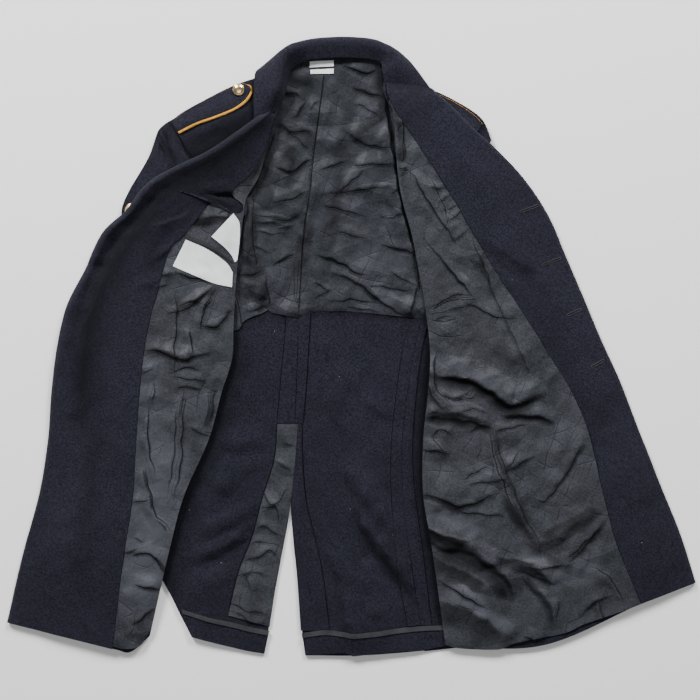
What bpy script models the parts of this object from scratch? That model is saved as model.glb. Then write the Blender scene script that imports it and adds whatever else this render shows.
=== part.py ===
"""A man's dress tunic of dark wool, unbuttoned and laid open on its back with the inside up.

Frame: metres, +X towards the wearer's left front, +Y towards the collar, +Z up.
The origin lies on the surface that the tunic rests on, below the centre of its outline.
Tables are in millimetres.  Each row is a section across the cloth, from the neck to the hem.
"left" and "right" are the wearer's.
"""
import math
from collections import namedtuple

import bmesh
import bpy
import numpy as np
from mathutils import Vector
from mathutils.bvhtree import BVHTree

MM = 0.001

# Walls and gaps, in millimetres.
WOOL = 1.8            # body and sleeve wool
FACING = 1.6          # front facing wool
LINING = 1.0          # satin lining
TAPE = 0.7            # binding tape and woven labels
SEAM_GAP = 0.3        # between pieces that meet at a seam
LAYER_GAP = 0.35      # between pieces that lie on each other
REST_GAP = 0.6        # under cloth that bridges uneven layers

# Buttons and cord, in millimetres.
FRONT_BUTTON = 23.0
STRAP_BUTTON = 15.5
CORD = 3.2            # gold cord round the shoulder straps

COLOURS = {
    "wool": ((0.016, 0.017, 0.028), 0.95, 0.0),
    "lining": ((0.045, 0.048, 0.055), 0.42, 0.0),
    "tape": ((0.07, 0.07, 0.075), 0.8, 0.0),
    "label": ((0.80, 0.81, 0.80), 0.7, 0.0),
    "cord": ((0.72, 0.36, 0.03), 0.55, 0.0),
    "brass": ((0.62, 0.42, 0.16), 0.3, 1.0),
}


# ---------------------------------------------------------------- the object's collection

for old in list(bpy.data.objects):
    bpy.data.objects.remove(old, do_unlink=True)

tunic = bpy.data.collections.new("dress_tunic")
bpy.context.scene.collection.children.link(tunic)
tops = {}


def give_material(obj, finish):
    """A material of the piece's own, of one of the finishes above."""
    colour, roughness, metallic = COLOURS[finish]
    material = bpy.data.materials.new(obj.name + "_" + finish)
    material.use_nodes = True
    shader = material.node_tree.nodes["Principled BSDF"]
    shader.inputs["Base Color"].default_value = (*colour, 1.0)
    shader.inputs["Roughness"].default_value = roughness
    shader.inputs["Metallic"].default_value = metallic
    obj.data.materials.append(material)


# ---------------------------------------------------------------- cloth from sections

def smooth(points, cells):
    """Points on a smooth curve through the given ones; cells is the steps in each span."""
    points = np.asarray(points, float)
    spans = len(points) - 1
    steps = [cells] * spans if isinstance(cells, int) else cells
    first = 2 * points[0] - points[1]
    last = 2 * points[-1] - points[-2]
    knots = np.concatenate([first[None], points, last[None]])
    line = []
    for span in range(spans):
        a, b, c, d = knots[span:span + 4]
        for step in range(steps[span]):
            t = step / steps[span]
            line.append(0.5 * (2 * b + (c - a) * t + (2 * a - 5 * b + 4 * c - d) * t * t
                               + (3 * b - a - 3 * c + d) * t ** 3))
    line.append(points[-1])
    return np.array(line)


def loft(sections, down, across):
    """A grid of points through the sections: rows run down the coat, columns across it."""
    rows = smooth([[point for point in section] for section in sections], down)
    grid = smooth(np.swapaxes(rows, 0, 1), across)
    grid = np.swapaxes(grid, 0, 1)
    grid[:, :, 2] = np.maximum(grid[:, :, 2], 0.0)
    return grid


def normals(grid):
    """The unit normal at each point of a grid."""
    run = np.gradient(grid, axis=1)
    fall = np.gradient(grid, axis=0)
    normal = np.cross(fall, run)
    length = np.linalg.norm(normal, axis=2, keepdims=True)
    normal = normal / np.maximum(length, 1e-9)
    return normal * np.sign(np.sum(normal[:, :, 2]))


def trimmed(grid, start, end):
    """The grid with its first and last columns drawn in by these amounts, as for a seam."""
    grid = grid.copy()
    for edge, inner, amount in ((0, 1, start), (-1, -2, end)):
        inward = grid[:, inner] - grid[:, edge]
        length = np.linalg.norm(inward, axis=1, keepdims=True)
        grid[:, edge] += inward / length * amount
    return grid


def keep_top(name, face):
    """Keeps a piece's upper face, so that other pieces can be laid on it."""
    rows, columns = face.shape[:2]
    triangles = []
    for i in range(rows - 1):
        for j in range(columns - 1):
            a, b = i * columns + j, i * columns + j + 1
            triangles += [(a, b, b + columns), (a, b + columns, a + columns)]
    tops[name] = BVHTree.FromPolygons([Vector(p) for p in face.reshape(-1, 3)], triangles)


def height_under(x, y, pieces, reach):
    """The highest point of the named pieces within reach of a place."""
    highest = 0.0
    ring = [(0.0, 0.0)]
    for turn in range(8):
        angle = turn * math.pi / 4
        ring.append((reach * math.cos(angle), reach * math.sin(angle)))
    for dx, dy in ring:
        for name in pieces:
            hit = tops[name].ray_cast(Vector((x + dx, y + dy, 500.0)), Vector((0, 0, -1)))
            if hit[0] is not None:
                highest = max(highest, hit[0].z)
    return highest


def laid_on(grid, pieces, gap=REST_GAP, reach=10.0):
    """The grid lifted where it would sink into the pieces it lies on."""
    grid = grid.copy()
    for row in grid:
        for point in row:
            need = height_under(point[0], point[1], pieces, reach) + gap
            point[2] = max(point[2], need)
    return grid


def creased(grid, folds):
    """How much extra each point of a grid lifts over soft folds: (x, y, x, y, width, height)."""
    lift = np.zeros(grid.shape[:2])
    for x0, y0, x1, y1, width, height in folds:
        start = np.array([x0, y0], float)
        run = np.array([x1, y1], float) - start
        along = np.clip(((grid[:, :, :2] - start) @ run) / (run @ run), 0.0, 1.0)
        away = np.linalg.norm(grid[:, :, :2] - (start + along[..., None] * run), axis=2)
        fade = np.sin(np.pi * np.clip(0.15 + 0.7 * along, 0, 1))
        lift += height * fade * np.exp(-(away / width) ** 2)
    return lift


def cloth(name, grid, wall, finish, low=0.0, columns=slice(None), start=0.0, end=0.0, folds=()):
    """One cut piece: a wall on the outer side of the grid, low above it, of some of its columns."""
    out = normals(grid)
    lower, upper = (trimmed((grid + out * height)[:, columns], start, end)
                    for height in (low, low + wall))
    lift = creased(lower, folds)
    lower[:, :, 2] += lift
    upper[:, :, 2] += lift
    rows, columns = lower.shape[:2]
    shell = bmesh.new()
    under = [[shell.verts.new(Vector(p) * MM) for p in row] for row in lower]
    over = [[shell.verts.new(Vector(p) * MM) for p in row] for row in upper]
    for i in range(rows - 1):
        for j in range(columns - 1):
            for sheet in (under, over):
                a, b, c, d = sheet[i][j], sheet[i][j + 1], sheet[i + 1][j + 1], sheet[i + 1][j]
                shell.faces.new((a, b, c))
                shell.faces.new((a, c, d))
    rim = [(i, 0) for i in range(rows)]
    rim += [(rows - 1, j) for j in range(1, columns)]
    rim += [(i, columns - 1) for i in range(rows - 2, -1, -1)]
    rim += [(0, j) for j in range(columns - 2, 0, -1)]
    for (i, j), (k, m) in zip(rim, rim[1:] + rim[:1]):
        shell.faces.new((under[i][j], under[k][m], over[k][m], over[i][j]))
    bmesh.ops.recalc_face_normals(shell, faces=shell.faces)
    mesh = bpy.data.meshes.new(name)
    shell.to_mesh(mesh)
    shell.free()
    mesh.shade_smooth()
    mesh.set_sharp_from_angle(angle=math.radians(50))
    obj = bpy.data.objects.new(name, mesh)
    tunic.objects.link(obj)
    give_material(obj, finish)
    keep_top(name, upper)


# ---------------------------------------------------------------- back

# The back panels meet at the centre seam, which opens into the vent below the waist.  Their
# necks ride up over the collar's fall.  Each place is (x, y, lift).
Back = namedtuple("Back", "seam inner outer side")

LEFT_BACK = (
    Back((-27, 386, 1), (38, 383, 1), (106, 338, 1), (176, 298, 0)),
    Back((-38, 335, 0), (36, 332, 0), (108, 298, 0), (180, 262, 0)),
    Back((-45, 289, 0), (24, 285, 0), (90, 262, 0), (162, 225, 0)),
    Back((-55, 223, 0), (10, 220, 0), (74, 208, 0), (140, 190, 0)),
    Back((-63, 143, 0), (0, 143, 0), (62, 143, 0), (126, 143, 0)),
    Back((-70, 42, 0), (-14, 45, 0), (40, 45, 0), (94, 42, 0)),
    Back((-72, -30, 0), (-22, -30, 0), (28, -30, 0), (78, -30, 0)),
    Back((-75, -100, 0), (-26, -100, 0), (22, -100, 3), (70, -100, 0)),
    Back((-79, -163, 0), (-30, -163, 1), (19, -163, 6), (68, -163, 0)),
    Back((-80, -219, 0), (-30, -220, 2), (20, -220, 7), (71, -220, 0)),
    Back((-73, -291, 0), (-22, -291, 4), (29, -291, 7), (80, -291, 0)),
    Back((-66, -379, 0), (-12, -379, 5), (40, -378, 5), (93, -376, 0)),
    Back((-61, -411, 0), (-8, -407, 5), (42, -408, 4), (98, -405, 0)),
)
RIGHT_BACK = (
    Back((-27, 386, 1), (-86, 377, 1), (-160, 339, 1), (-238, 298, 0)),
    Back((-38, 335, 0), (-95, 326, 0), (-160, 300, 0), (-226, 262, 0)),
    Back((-45, 289, 0), (-98, 283, 0), (-155, 262, 0), (-212, 232, 0)),
    Back((-55, 223, 0), (-103, 222, 0), (-152, 212, 0), (-202, 196, 0)),
    Back((-63, 143, 0), (-107, 143, 0), (-150, 143, 0), (-195, 143, 0)),
    Back((-70, 42, 0), (-113, 45, 0), (-156, 45, 0), (-200, 42, 0)),
    Back((-72, -30, 0), (-117, -30, 0), (-162, -30, 0), (-206, -30, 0)),
    Back((-75, -100, 0), (-121, -100, 0), (-168, -100, 0), (-214, -100, 0)),
    Back((-79, -163, 0), (-128, -163, 0), (-177, -163, 2), (-226, -163, 0)),
    Back((-82, -219, 0), (-133, -219, 0), (-185, -219, 4), (-238, -219, 0)),
    Back((-94, -282, 0), (-147, -284, 0), (-204, -285, 5), (-260, -285, 2)),
    Back((-110, -379, 0), (-147, -371, 0), (-187, -362, 3), (-228, -352, 2)),
    Back((-116, -409, 0), (-150, -403, 0), (-183, -396, 3), (-213, -386, 2)),
)
BACK_DOWN = [1] * 6 + [2] * 6
HEM_ROWS = BACK_DOWN[-1] + 1

left_back = loft(LEFT_BACK, BACK_DOWN, 2)
right_back = loft(RIGHT_BACK, BACK_DOWN, 2)
cloth("back_left", left_back, WOOL, "wool", start=SEAM_GAP / 2)
cloth("back_right", right_back, WOOL, "wool", start=SEAM_GAP / 2)

# Side panels, from the side-back seam to the front, under the open fronts.
SIDE_SEAM_GAP = 0.8   # the two panels follow the seam's curve in steps of their own
Side = namedtuple("Side", "seam outer")

LEFT_SIDE = (
    Side((140, 190, 0), (205, 165, 0)),
    Side((126, 143, 0), (212, 120, 0)),
    Side((94, 42, 0), (195, 25, 0)),
    Side((78, -30, 0), (180, -45, 0)),
    Side((70, -100, 0), (172, -115, 0)),
    Side((68, -163, 0), (172, -178, 0)),
    Side((71, -220, 0), (178, -235, 0)),
    Side((80, -291, 0), (190, -300, 0)),
    Side((93, -376, 0), (205, -375, 0)),
    Side((98, -405, 0), (212, -393, 0)),
)
RIGHT_SIDE = (
    Side((-197, 160, 0), (-262, 128, 0)),
    Side((-200, 100, 0), (-275, 85, 0)),
    Side((-200, 42, 0), (-288, 30, 0)),
    Side((-206, -30, 0), (-300, -45, 0)),
    Side((-214, -100, 0), (-308, -118, 0)),
    Side((-226, -163, 0), (-322, -185, 0)),
    Side((-238, -219, 0), (-335, -245, 0)),
    Side((-265, -285, 0), (-352, -310, 0)),
    Side((-276, -345, 0), (-362, -360, 0)),
    Side((-288, -382, 0), (-372, -380, 0)),
)

for side, rows in (("left", LEFT_SIDE), ("right", RIGHT_SIDE)):
    down = [1] * (len(rows) - 1)
    cloth("side_" + side, loft(rows, down, [3]), WOOL, "wool", start=SIDE_SEAM_GAP)

# The hems turn up inside, with their raw edge bound in tape.
HEM_TURN = 27.0
BINDING = 6.5

for side, back in (("left", left_back), ("right", right_back)):
    hem = back[-HEM_ROWS:]
    cloth("hem_turn_" + side, hem, FACING, "wool", low=WOOL + LAYER_GAP,
          start=SEAM_GAP, end=SEAM_GAP)
    strip = hem[:2].copy()
    strip[1] = strip[0] + (strip[1] - strip[0]) * BINDING * BACK_DOWN[-1] / HEM_TURN
    cloth("hem_binding_" + side, strip, TAPE, "tape", low=WOOL + FACING + 2 * LAYER_GAP,
          start=SEAM_GAP, end=SEAM_GAP)

# Strips that run down the flat of the back: pressed-open seam allowances, the vent's facing
# and the vent's lining.  Each row is the strip's two edges.
Strip = namedtuple("Strip", "inner outer")

CENTRE_ALLOWANCE_RIGHT = (
    Strip((-70.5, 44), (-86, 44)),
    Strip((-72.5, -30), (-92, -30)),
    Strip((-75.5, -99), (-98, -99)),
)
CENTRE_ALLOWANCE_LEFT = (
    Strip((-69.5, 44), (-56, 44)),
    Strip((-71.5, -30), (-61, -30)),
    Strip((-74.5, -99), (-66, -99)),
)
VENT_FACING = (
    Strip((-75, -103), (-67, -103)),
    Strip((-78, -150), (-66, -150)),
    Strip((-80, -207), (-59, -207)),
    Strip((-76.5, -260), (-49, -260)),
    Strip((-72, -304), (-39, -304)),
    Strip((-67, -372), (-29, -372)),
)
VENT_LINING = (
    Strip((-75.5, -103), (-98, -103)),
    Strip((-78, -143), (-103, -143)),
    Strip((-81.5, -207), (-117, -207)),
    Strip((-88, -250), (-130, -260)),
    Strip((-98, -304), (-148, -300)),
    Strip((-108, -366), (-160, -357)),
)
SIDE_ALLOWANCE_BACK = (
    Strip((93, 36), (82, 36)),
    Strip((82, -10), (71, -10)),
    Strip((69, -100), (56, -100)),
    Strip((67, -163), (54, -163)),
    Strip((70.5, -220), (58, -220)),
    Strip((79.5, -291), (64, -291)),
    Strip((92, -370), (76, -370)),
)
SIDE_ALLOWANCE_SIDE = (
    Strip((95, 36), (104, 36)),
    Strip((84, -10), (96, -10)),
    Strip((71, -100), (84, -100)),
    Strip((69, -163), (82, -163)),
    Strip((72, -220), (88, -220)),
    Strip((81.5, -291), (97, -291)),
    Strip((94.5, -370), (107, -370)),
)
BACK_STRIPS = (
    ("centre_allowance_right", CENTRE_ALLOWANCE_RIGHT, FACING, "wool"),
    ("centre_allowance_left", CENTRE_ALLOWANCE_LEFT, FACING, "wool"),
    ("vent_facing_left", VENT_FACING, FACING, "wool"),
    ("vent_lining_right", VENT_LINING, LINING, "lining"),
    ("side_allowance_back", SIDE_ALLOWANCE_BACK, FACING, "wool"),
    ("side_allowance_side", SIDE_ALLOWANCE_SIDE, FACING, "wool"),
)
BACK_WOOL = ("back_left", "back_right", "side_left", "side_right")

for name, rows, wall, finish in BACK_STRIPS:
    sections = [((*row.inner, 0), (*row.outer, 0)) for row in rows]
    strip = laid_on(loft(sections, 2, [2]), BACK_WOOL, LAYER_GAP, reach=4.0)
    cloth(name, strip, wall, finish)

# The satin lining of the back's upper half: two panels that meet in a pleat at the centre.
YOKE_LEFT = (
    Strip((-27, 387), (42, 380)),
    Strip((-38, 335), (58, 328)),
    Strip((-45, 289), (70, 280)),
    Strip((-55, 223), (84, 215)),
    Strip((-63, 143), (98, 150)),
    Strip((-67, 80), (112, 90)),
    Strip((-70, 38), (120, 36)),
)
YOKE_RIGHT = (
    Strip((-27, 387), (-84, 376)),
    Strip((-38, 335), (-97, 322)),
    Strip((-45, 289), (-112, 280)),
    Strip((-55, 223), (-142, 222)),
    Strip((-63, 143), (-165, 143)),
    Strip((-67, 80), (-170, 80)),
    Strip((-70, 38), (-172, 32)),
)
YOKE_FOLDS_LEFT = (
    (-20, 300, 45, 250, 12, 2.2),
    (-40, 215, 30, 235, 10, 2.0),
    (-30, 170, 60, 140, 11, 2.4),
    (-55, 110, 20, 75, 10, 2.0),
    (20, 110, 85, 60, 12, 2.2),
    (10, 330, 20, 260, 9, 1.8),
)
YOKE_FOLDS_RIGHT = (
    (-100, 262, -50, 235, 10, 2.2),
    (-125, 190, -65, 175, 11, 2.0),
    (-140, 175, -132, 60, 9, 3.0),
    (-120, 120, -70, 95, 10, 2.0),
    (-60, 350, -80, 290, 9, 1.8),
    (-125, 90, -75, 60, 10, 2.2),
)
YOKE_BOW = 7.0
SEAMS = ("centre_allowance_left", "centre_allowance_right", "side_allowance_back",
         "side_allowance_side")
for side, rows, folds in (("left", YOKE_LEFT, YOKE_FOLDS_LEFT),
                          ("right", YOKE_RIGHT, YOKE_FOLDS_RIGHT)):
    sections = [((*row.inner, 0), (*row.outer, 0)) for row in rows]
    yoke = loft(sections, 2, [8])
    yoke[-1, :, 1] += YOKE_BOW * np.sin(np.linspace(0, math.pi, yoke.shape[1]))
    yoke = laid_on(yoke, BACK_WOOL + SEAMS, reach=14.0)
    cloth("yoke_lining_" + side, yoke, LINING, "lining", start=SEAM_GAP, folds=folds)

# ---------------------------------------------------------------- sleeves

# Each sleeve lies flat under its open front: the under sleeve on the surface and the top
# sleeve over it, with a little air between them and a padded head at the armhole.
Sleeve = namedtuple("Sleeve", "outer inner crown")

RIGHT_SLEEVE = (
    Sleeve((-243, 302, 0), (-205, 222, 0), 6.0),
    Sleeve((-256, 290, 0), (-215, 200, 0), 8.0),
    Sleeve((-268, 256, 0), (-224, 168, 2.4), 8.0),
    Sleeve((-303, 192, 0), (-212, 125, 3.0), 7.0),
    Sleeve((-305, 145, 2.4), (-182, 100, 2.6), 5.0),
    Sleeve((-318, 80, 2.4), (-180, 45, 2.4), 4.0),
    Sleeve((-352, -20, 2.4), (-206, -45, 2.4), 4.0),
    Sleeve((-366, -120, 2.4), (-220, -140, 2.4), 4.0),
    Sleeve((-380, -215, 2.4), (-240, -238, 2.4), 4.0),
    Sleeve((-396, -280, 2.4), (-262, -300, 2.4), 3.0),
)
RIGHT_SLEEVE_DOWN = [2, 2, 2, 2, 1, 1, 1, 1, 1]
LEFT_SLEEVE = (
    Sleeve((186, 266, 2.4), (152, 202, 2.4), 7.0),
    Sleeve((212, 226, 2.4), (150, 165, 2.6), 7.0),
    Sleeve((242, 172, 2.4), (124, 120, 2.6), 5.0),
    Sleeve((292, 50, 2.4), (160, -7, 2.4), 4.0),
    Sleeve((342, -80, 2.4), (212, -136, 2.4), 4.0),
    Sleeve((382, -185, 2.4), (256, -240, 2.4), 4.0),
    Sleeve((414, -284, 2.4), (296, -335, 2.4), 3.0),
)
LEFT_SLEEVE_DOWN = [1] * 6
SLEEVE_CELLS = 5

for side, rows, down in (("right", RIGHT_SLEEVE, RIGHT_SLEEVE_DOWN),
                         ("left", LEFT_SLEEVE, LEFT_SLEEVE_DOWN)):
    sections = [(row.outer, row.inner) for row in rows]
    under = laid_on(loft(sections, down, [SLEEVE_CELLS]), BACK_WOOL, reach=14.0)
    cloth("under_sleeve_" + side, under, WOOL, "wool")
    over = under.copy()
    crown = smooth([[row.crown] for row in rows], down)
    bulge = np.sin(np.linspace(0, math.pi, SLEEVE_CELLS + 1)) ** 0.7
    over[:, :, 2] += WOOL + LAYER_GAP + crown * bulge
    cloth("top_sleeve_" + side, over, WOOL, "wool")

# ---------------------------------------------------------------- shoulders

# The front shoulders lie the right side up over the back, on their pads: high in the middle
# and down to the back at the shoulder seam.  Each row runs from the seam to under the lapel.
Shoulder = namedtuple("Shoulder", "seam pad chest")

RIGHT_SHOULDER = (
    Shoulder((-112, 362, 5.5), (-111, 335, 9), (-116, 303, 9)),
    Shoulder((-136, 356, 3.2), (-133, 330, 10), (-130, 292, 10)),
    Shoulder((-165, 345, 2.6), (-158, 318, 11), (-150, 276, 10)),
    Shoulder((-198, 328, 2.4), (-186, 300, 11), (-176, 258, 10)),
    Shoulder((-225, 313, 2.4), (-211, 285, 11), (-196, 244, 10)),
    Shoulder((-240, 301, 2.4), (-225, 277, 10), (-203, 238, 9)),
)
LEFT_SHOULDER = (
    Shoulder((92, 346, 5.5), (84, 322, 7), (78, 292, 8)),
    Shoulder((118, 335, 3.2), (110, 312, 8), (102, 280, 8)),
    Shoulder((146, 320, 2.6), (138, 298, 8), (126, 268, 8)),
    Shoulder((168, 306, 2.4), (160, 285, 8), (146, 252, 8)),
    Shoulder((178, 294, 2.4), (168, 272, 8), (152, 240, 8)),
    Shoulder((184, 276, 2.4), (172, 258, 7), (158, 230, 7)),
)

for side, rows in (("right", RIGHT_SHOULDER), ("left", LEFT_SHOULDER)):
    shoulder = laid_on(loft(rows, 2, 3), BACK_WOOL + ("yoke_lining_" + side,), reach=6.0)
    shoulder = laid_on(shoulder, ("under_sleeve_" + side,), LAYER_GAP, reach=5.0)
    cloth("front_shoulder_" + side, shoulder, WOOL, "wool")

# The shoulder straps are pointed at the collar end, edged with gold cord and held by a
# button.  Each row is the strap's two long edges, and the last row is its point.
RIGHT_STRAP = (
    Strip((-230, 287), (-238, 299)),
    Strip((-206, 299), (-218, 316)),
    Strip((-183, 307), (-196, 328)),
    Strip((-158, 317), (-169, 341)),
    Strip((-143, 327), (-151, 350)),
    Strip((-136, 336), (-141, 350)),
    Strip((-132.5, 343), (-134.5, 347)),
)
LEFT_STRAP = (
    Strip((152, 264), (178, 291)),
    Strip((138, 277), (163, 306)),
    Strip((120, 292), (140, 321)),
    Strip((106, 302), (117, 330)),
    Strip((100, 316), (104, 324)),
)
STRAP_GAP = 1.3       # lifts the strap enough for its cord to clear the shoulder


def shoulder_strap(side, rows):
    """A strap laid on the shoulder, and its cord as a tube along the strap's edge."""
    sections = [((*row.inner, 0), (*row.outer, 0)) for row in rows]
    strap = loft(sections, 2, [3])
    strap = laid_on(strap, ("front_shoulder_" + side,), STRAP_GAP, reach=4.0)
    cloth("shoulder_strap_" + side, strap, WOOL, "wool")
    up = normals(strap)
    middle = strap + up * WOOL / 2
    edge = np.concatenate([middle[:, 0], middle[::-1, -1]])
    outward = np.cross(np.gradient(edge, axis=0), np.concatenate([up[:, 0], up[::-1, -1]]))
    outward /= np.linalg.norm(outward, axis=1, keepdims=True)
    outward *= np.sign(np.sum(outward * (edge - middle.mean(axis=(0, 1)))))
    edge += outward * (CORD / 2 + SEAM_GAP)
    path = bpy.data.curves.new("shoulder_cord_" + side, "CURVE")
    path.dimensions = "3D"
    path.bevel_depth = CORD / 2 * MM
    path.bevel_resolution = 1
    path.use_fill_caps = True
    thread = path.splines.new("POLY")
    thread.points.add(len(edge) - 1)
    for point, place in zip(thread.points, edge):
        point.co = (*(place * MM), 1.0)
    cord = bpy.data.objects.new("shoulder_cord_" + side, path)
    tunic.objects.link(cord)
    give_material(cord, "cord")


shoulder_strap("right", RIGHT_STRAP)
shoulder_strap("left", LEFT_STRAP)

# ---------------------------------------------------------------- collar

# The collar rolls over its stand.  At the back of the neck the fall lies underneath; on the
# right it lies on the shoulder; on the left it is opened out.  Each row is a section from
# the neck seam (foot) over the roll (crest) to the free edge.
Collar = namedtuple("Collar", "foot crest turn edge")

COLLAR = (
    Collar((-97, 323, 11), (-105, 321, 25), (-115, 317, 20), (-127, 312, 16.5)),
    Collar((-89, 340, 10), (-98, 340, 27), (-112, 336, 22), (-128, 330, 16.5)),
    Collar((-86, 358, 9), (-95, 362, 25), (-111, 360, 20), (-127, 353, 15.5)),
    Collar((-80, 371, 8), (-91, 382, 22), (-105, 379, 15), (-121, 368, 10)),
    Collar((-67, 380, 7), (-78, 396, 19), (-84, 397, 10), (-82, 386, 5)),
    Collar((-52, 384, 7), (-54, 402, 18), (-55, 406, 10), (-53, 389, 3.6)),
    Collar((-24, 386, 7), (-24, 405, 18), (-24, 409, 10), (-24, 390, 3.6)),
    Collar((3, 386, 7), (3, 405, 18), (3, 409, 10), (3, 390, 3.6)),
    Collar((28, 384, 7), (31, 401, 18), (33, 405, 10), (29, 389, 3.6)),
    Collar((41, 378, 7.5), (52, 388, 18), (57, 391, 10), (64, 387, 5)),
    Collar((45, 361, 9), (60, 366, 18), (71, 369, 14), (82, 371, 9)),
    Collar((49, 340, 11), (66, 343, 18), (87, 345, 17), (106, 345, 16)),
)
COLLAR_ACROSS = [2, 2, 2]
UNDER_COLLAR = 1.2
TOP_COLLAR = 1.5

collar = loft(COLLAR, 2, COLLAR_ACROSS)
cloth("under_collar", collar, UNDER_COLLAR, "wool")
cloth("top_collar", collar, TOP_COLLAR, "wool", low=UNDER_COLLAR + SEAM_GAP)

# ---------------------------------------------------------------- fronts

# Each open front is wool below, faced with wool along its edge and lined with satin to the
# side.  Each row gives the free edge, the facing's inner edge and the lining's inner edge,
# then how high the wool lies from the edge inwards, and how the edge rolls under: its radius
# and how far it turns, in degrees.  Bow is how far the middle of a row sags towards the hem.
Front = namedtuple("Front", "edge facing lining crest valley crown ground middle inner "
                            "roll turn bow")

RIGHT_FRONT = (
    Front((-113, 311), (-100, 317), (-96, 319), 25, 22, 17, 14, 13, 12, 3.5, 140, 0),
    Front((-128, 303), (-106, 292), (-101, 290), 26, 22, 17, 13, 12, 10, 4.5, 150, 0),
    Front((-154, 284), (-118, 261), (-111, 258), 27, 22, 17, 12, 11, 9, 5.5, 150, 0),
    Front((-190, 260), (-138, 230), (-130, 226), 27, 22, 17, 12, 10, 8, 5.5, 150, 0),
    Front((-222, 245), (-166, 208), (-139, 198), 27, 21, 17, 12, 10, 8, 5.5, 150, 0),
    Front((-259, 227), (-188, 190), (-142, 182), 27, 20, 18, 12, 10, 8, 5.5, 145, 0),
    Front((-284, 203), (-208, 165), (-145, 162), 26, 18, 18, 13, 10, 8, 5.5, 135, 0),
    Front((-299, 182), (-222, 148), (-147, 146), 23, 15, 17, 13, 10, 8, 5.5, 120, 0),
    Front((-331, 152), (-240, 130), (-149, 128), 18, 11, 16, 13, 10, 8, 5.5, 105, 0),
    Front((-355, 103), (-253, 86), (-153, 82), 14, 9, 15, 13, 10, 8, 5.5, 95, 0),
    Front((-379, 54), (-266, 40), (-156, 30), 12, 9, 14, 13, 10, 8, 5.0, 90, 0),
    Front((-392, -3), (-275, -12), (-158, -15), 11, 9, 13, 13, 10, 7, 5.0, 85, 0),
    Front((-399, -60), (-281, -70), (-172, -60), 9, 9, 13, 13, 10, 6, 4.0, 80, 0),
    Front((-404, -123), (-285, -125), (-189, -122), 6, 7, 12, 12, 10, 6, 3.5, 75, 0),
    Front((-416, -196), (-290, -203), (-222, -198), 4, 5, 11, 11, 8, 5, 3.0, 70, 0),
    Front((-438, -277), (-302, -281), (-243, -277), 4, 7, 12, 12, 11, 8, 2.5, 65, 3),
    Front((-459, -366), (-317, -401), (-268, -384), 2, 3, 5, 6, 5, 4, 2.5, 65, 12),
)
RIGHT_FRONT_DOWN = [1] * 12 + [2] * 4
LEFT_FRONT = (
    Front((108, 340), (51, 335), (40, 332), 18, 19, 19, 16, 14, 12, 2.0, 70, 0),
    Front((136, 318), (65, 306), (50, 302), 16, 17, 17, 14, 12, 10, 2.5, 70, 0),
    Front((166, 288), (89, 272), (57, 262), 15, 16, 16, 13, 11, 9, 2.5, 70, 0),
    Front((196, 261), (110, 238), (61, 228), 11, 13, 15, 13, 11, 9, 2.5, 70, 0),
    Front((230, 225), (130, 206), (66, 194), 6, 9, 14, 12, 10, 8, 2.5, 70, 0),
    Front((262, 178), (158, 159), (77, 153), 5, 7, 13, 12, 10, 8, 2.5, 70, 0),
    Front((286, 123), (190, 104), (87, 102), 4, 6, 12, 12, 9, 7, 2.5, 70, 0),
    Front((307, 74), (219, 60), (98, 58), 4, 5, 11, 12, 9, 7, 2.5, 70, 0),
    Front((332, 14), (263, -10), (105, -5), 4, 5, 8, 12, 9, 6, 2.5, 70, 0),
    Front((358, -43), (294, -61), (102, -63), 4, 5, 8, 11, 12, 6, 2.5, 70, 0),
    Front((384, -110), (315, -112), (96, -123), 3, 4, 8, 11, 10, 6, 2.5, 70, 0),
    Front((411, -179), (335, -196), (96, -196), 3, 4, 8, 11, 9, 5, 2.5, 70, 5),
    Front((438, -245), (355, -267), (108, -269), 3, 3, 6, 9, 8, 5, 2.5, 70, 13),
    Front((460, -313), (386, -341), (126, -405), 2, 2, 3, 5, 5, 4, 2.5, 70, 26),
)
LEFT_FRONT_DOWN = [1] * 8 + [2] * 5

VALLEY_AT = 0.16      # of the way from the crest to the facing's inner edge
CROWN_AT = 0.55
FRONT_ACROSS = [2, 2, 2, 3, 3]
ROLL_STEPS = 4
FACING_COLUMNS = ROLL_STEPS + sum(FRONT_ACROSS[:3])
FRONT_LAYERS = WOOL + LAYER_GAP + FACING


def front_grid(rows, down, under):
    """The wool's underside: laid on what is below, with the edge rolled under."""
    sections = []
    for row in rows:
        edge, facing, lining = (np.array(place, float) for place in row[:3])
        outward = (edge - facing) / np.linalg.norm(edge - facing)
        crest = edge - outward * (row.roll + FRONT_LAYERS)
        valley = crest + (facing - crest) * VALLEY_AT
        crown = crest + (facing - crest) * CROWN_AT
        middle = (facing + lining) / 2 - (0, row.bow)
        places = (crest, valley, crown, facing, middle, lining)
        sections.append([(*place, height) for place, height in zip(places, row[3:9])])
    flat = laid_on(loft(sections, down, FRONT_ACROSS), under, reach=15.0)
    rolls = smooth([(row.roll, math.radians(row.turn)) for row in rows], down)
    rolled = []
    for points, (radius, turn) in zip(flat, rolls):
        out = points[0] - points[-1]
        out[2] = 0.0
        out /= np.linalg.norm(out)
        arc = []
        for step in range(ROLL_STEPS, 0, -1):
            angle = turn * step / ROLL_STEPS
            rise = np.array([0, 0, radius * (math.cos(angle) - 1)])
            arc.append(points[0] + out * radius * math.sin(angle) + rise)
        rolled.append(np.concatenate([arc, points]))
    return np.array(rolled)


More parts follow.
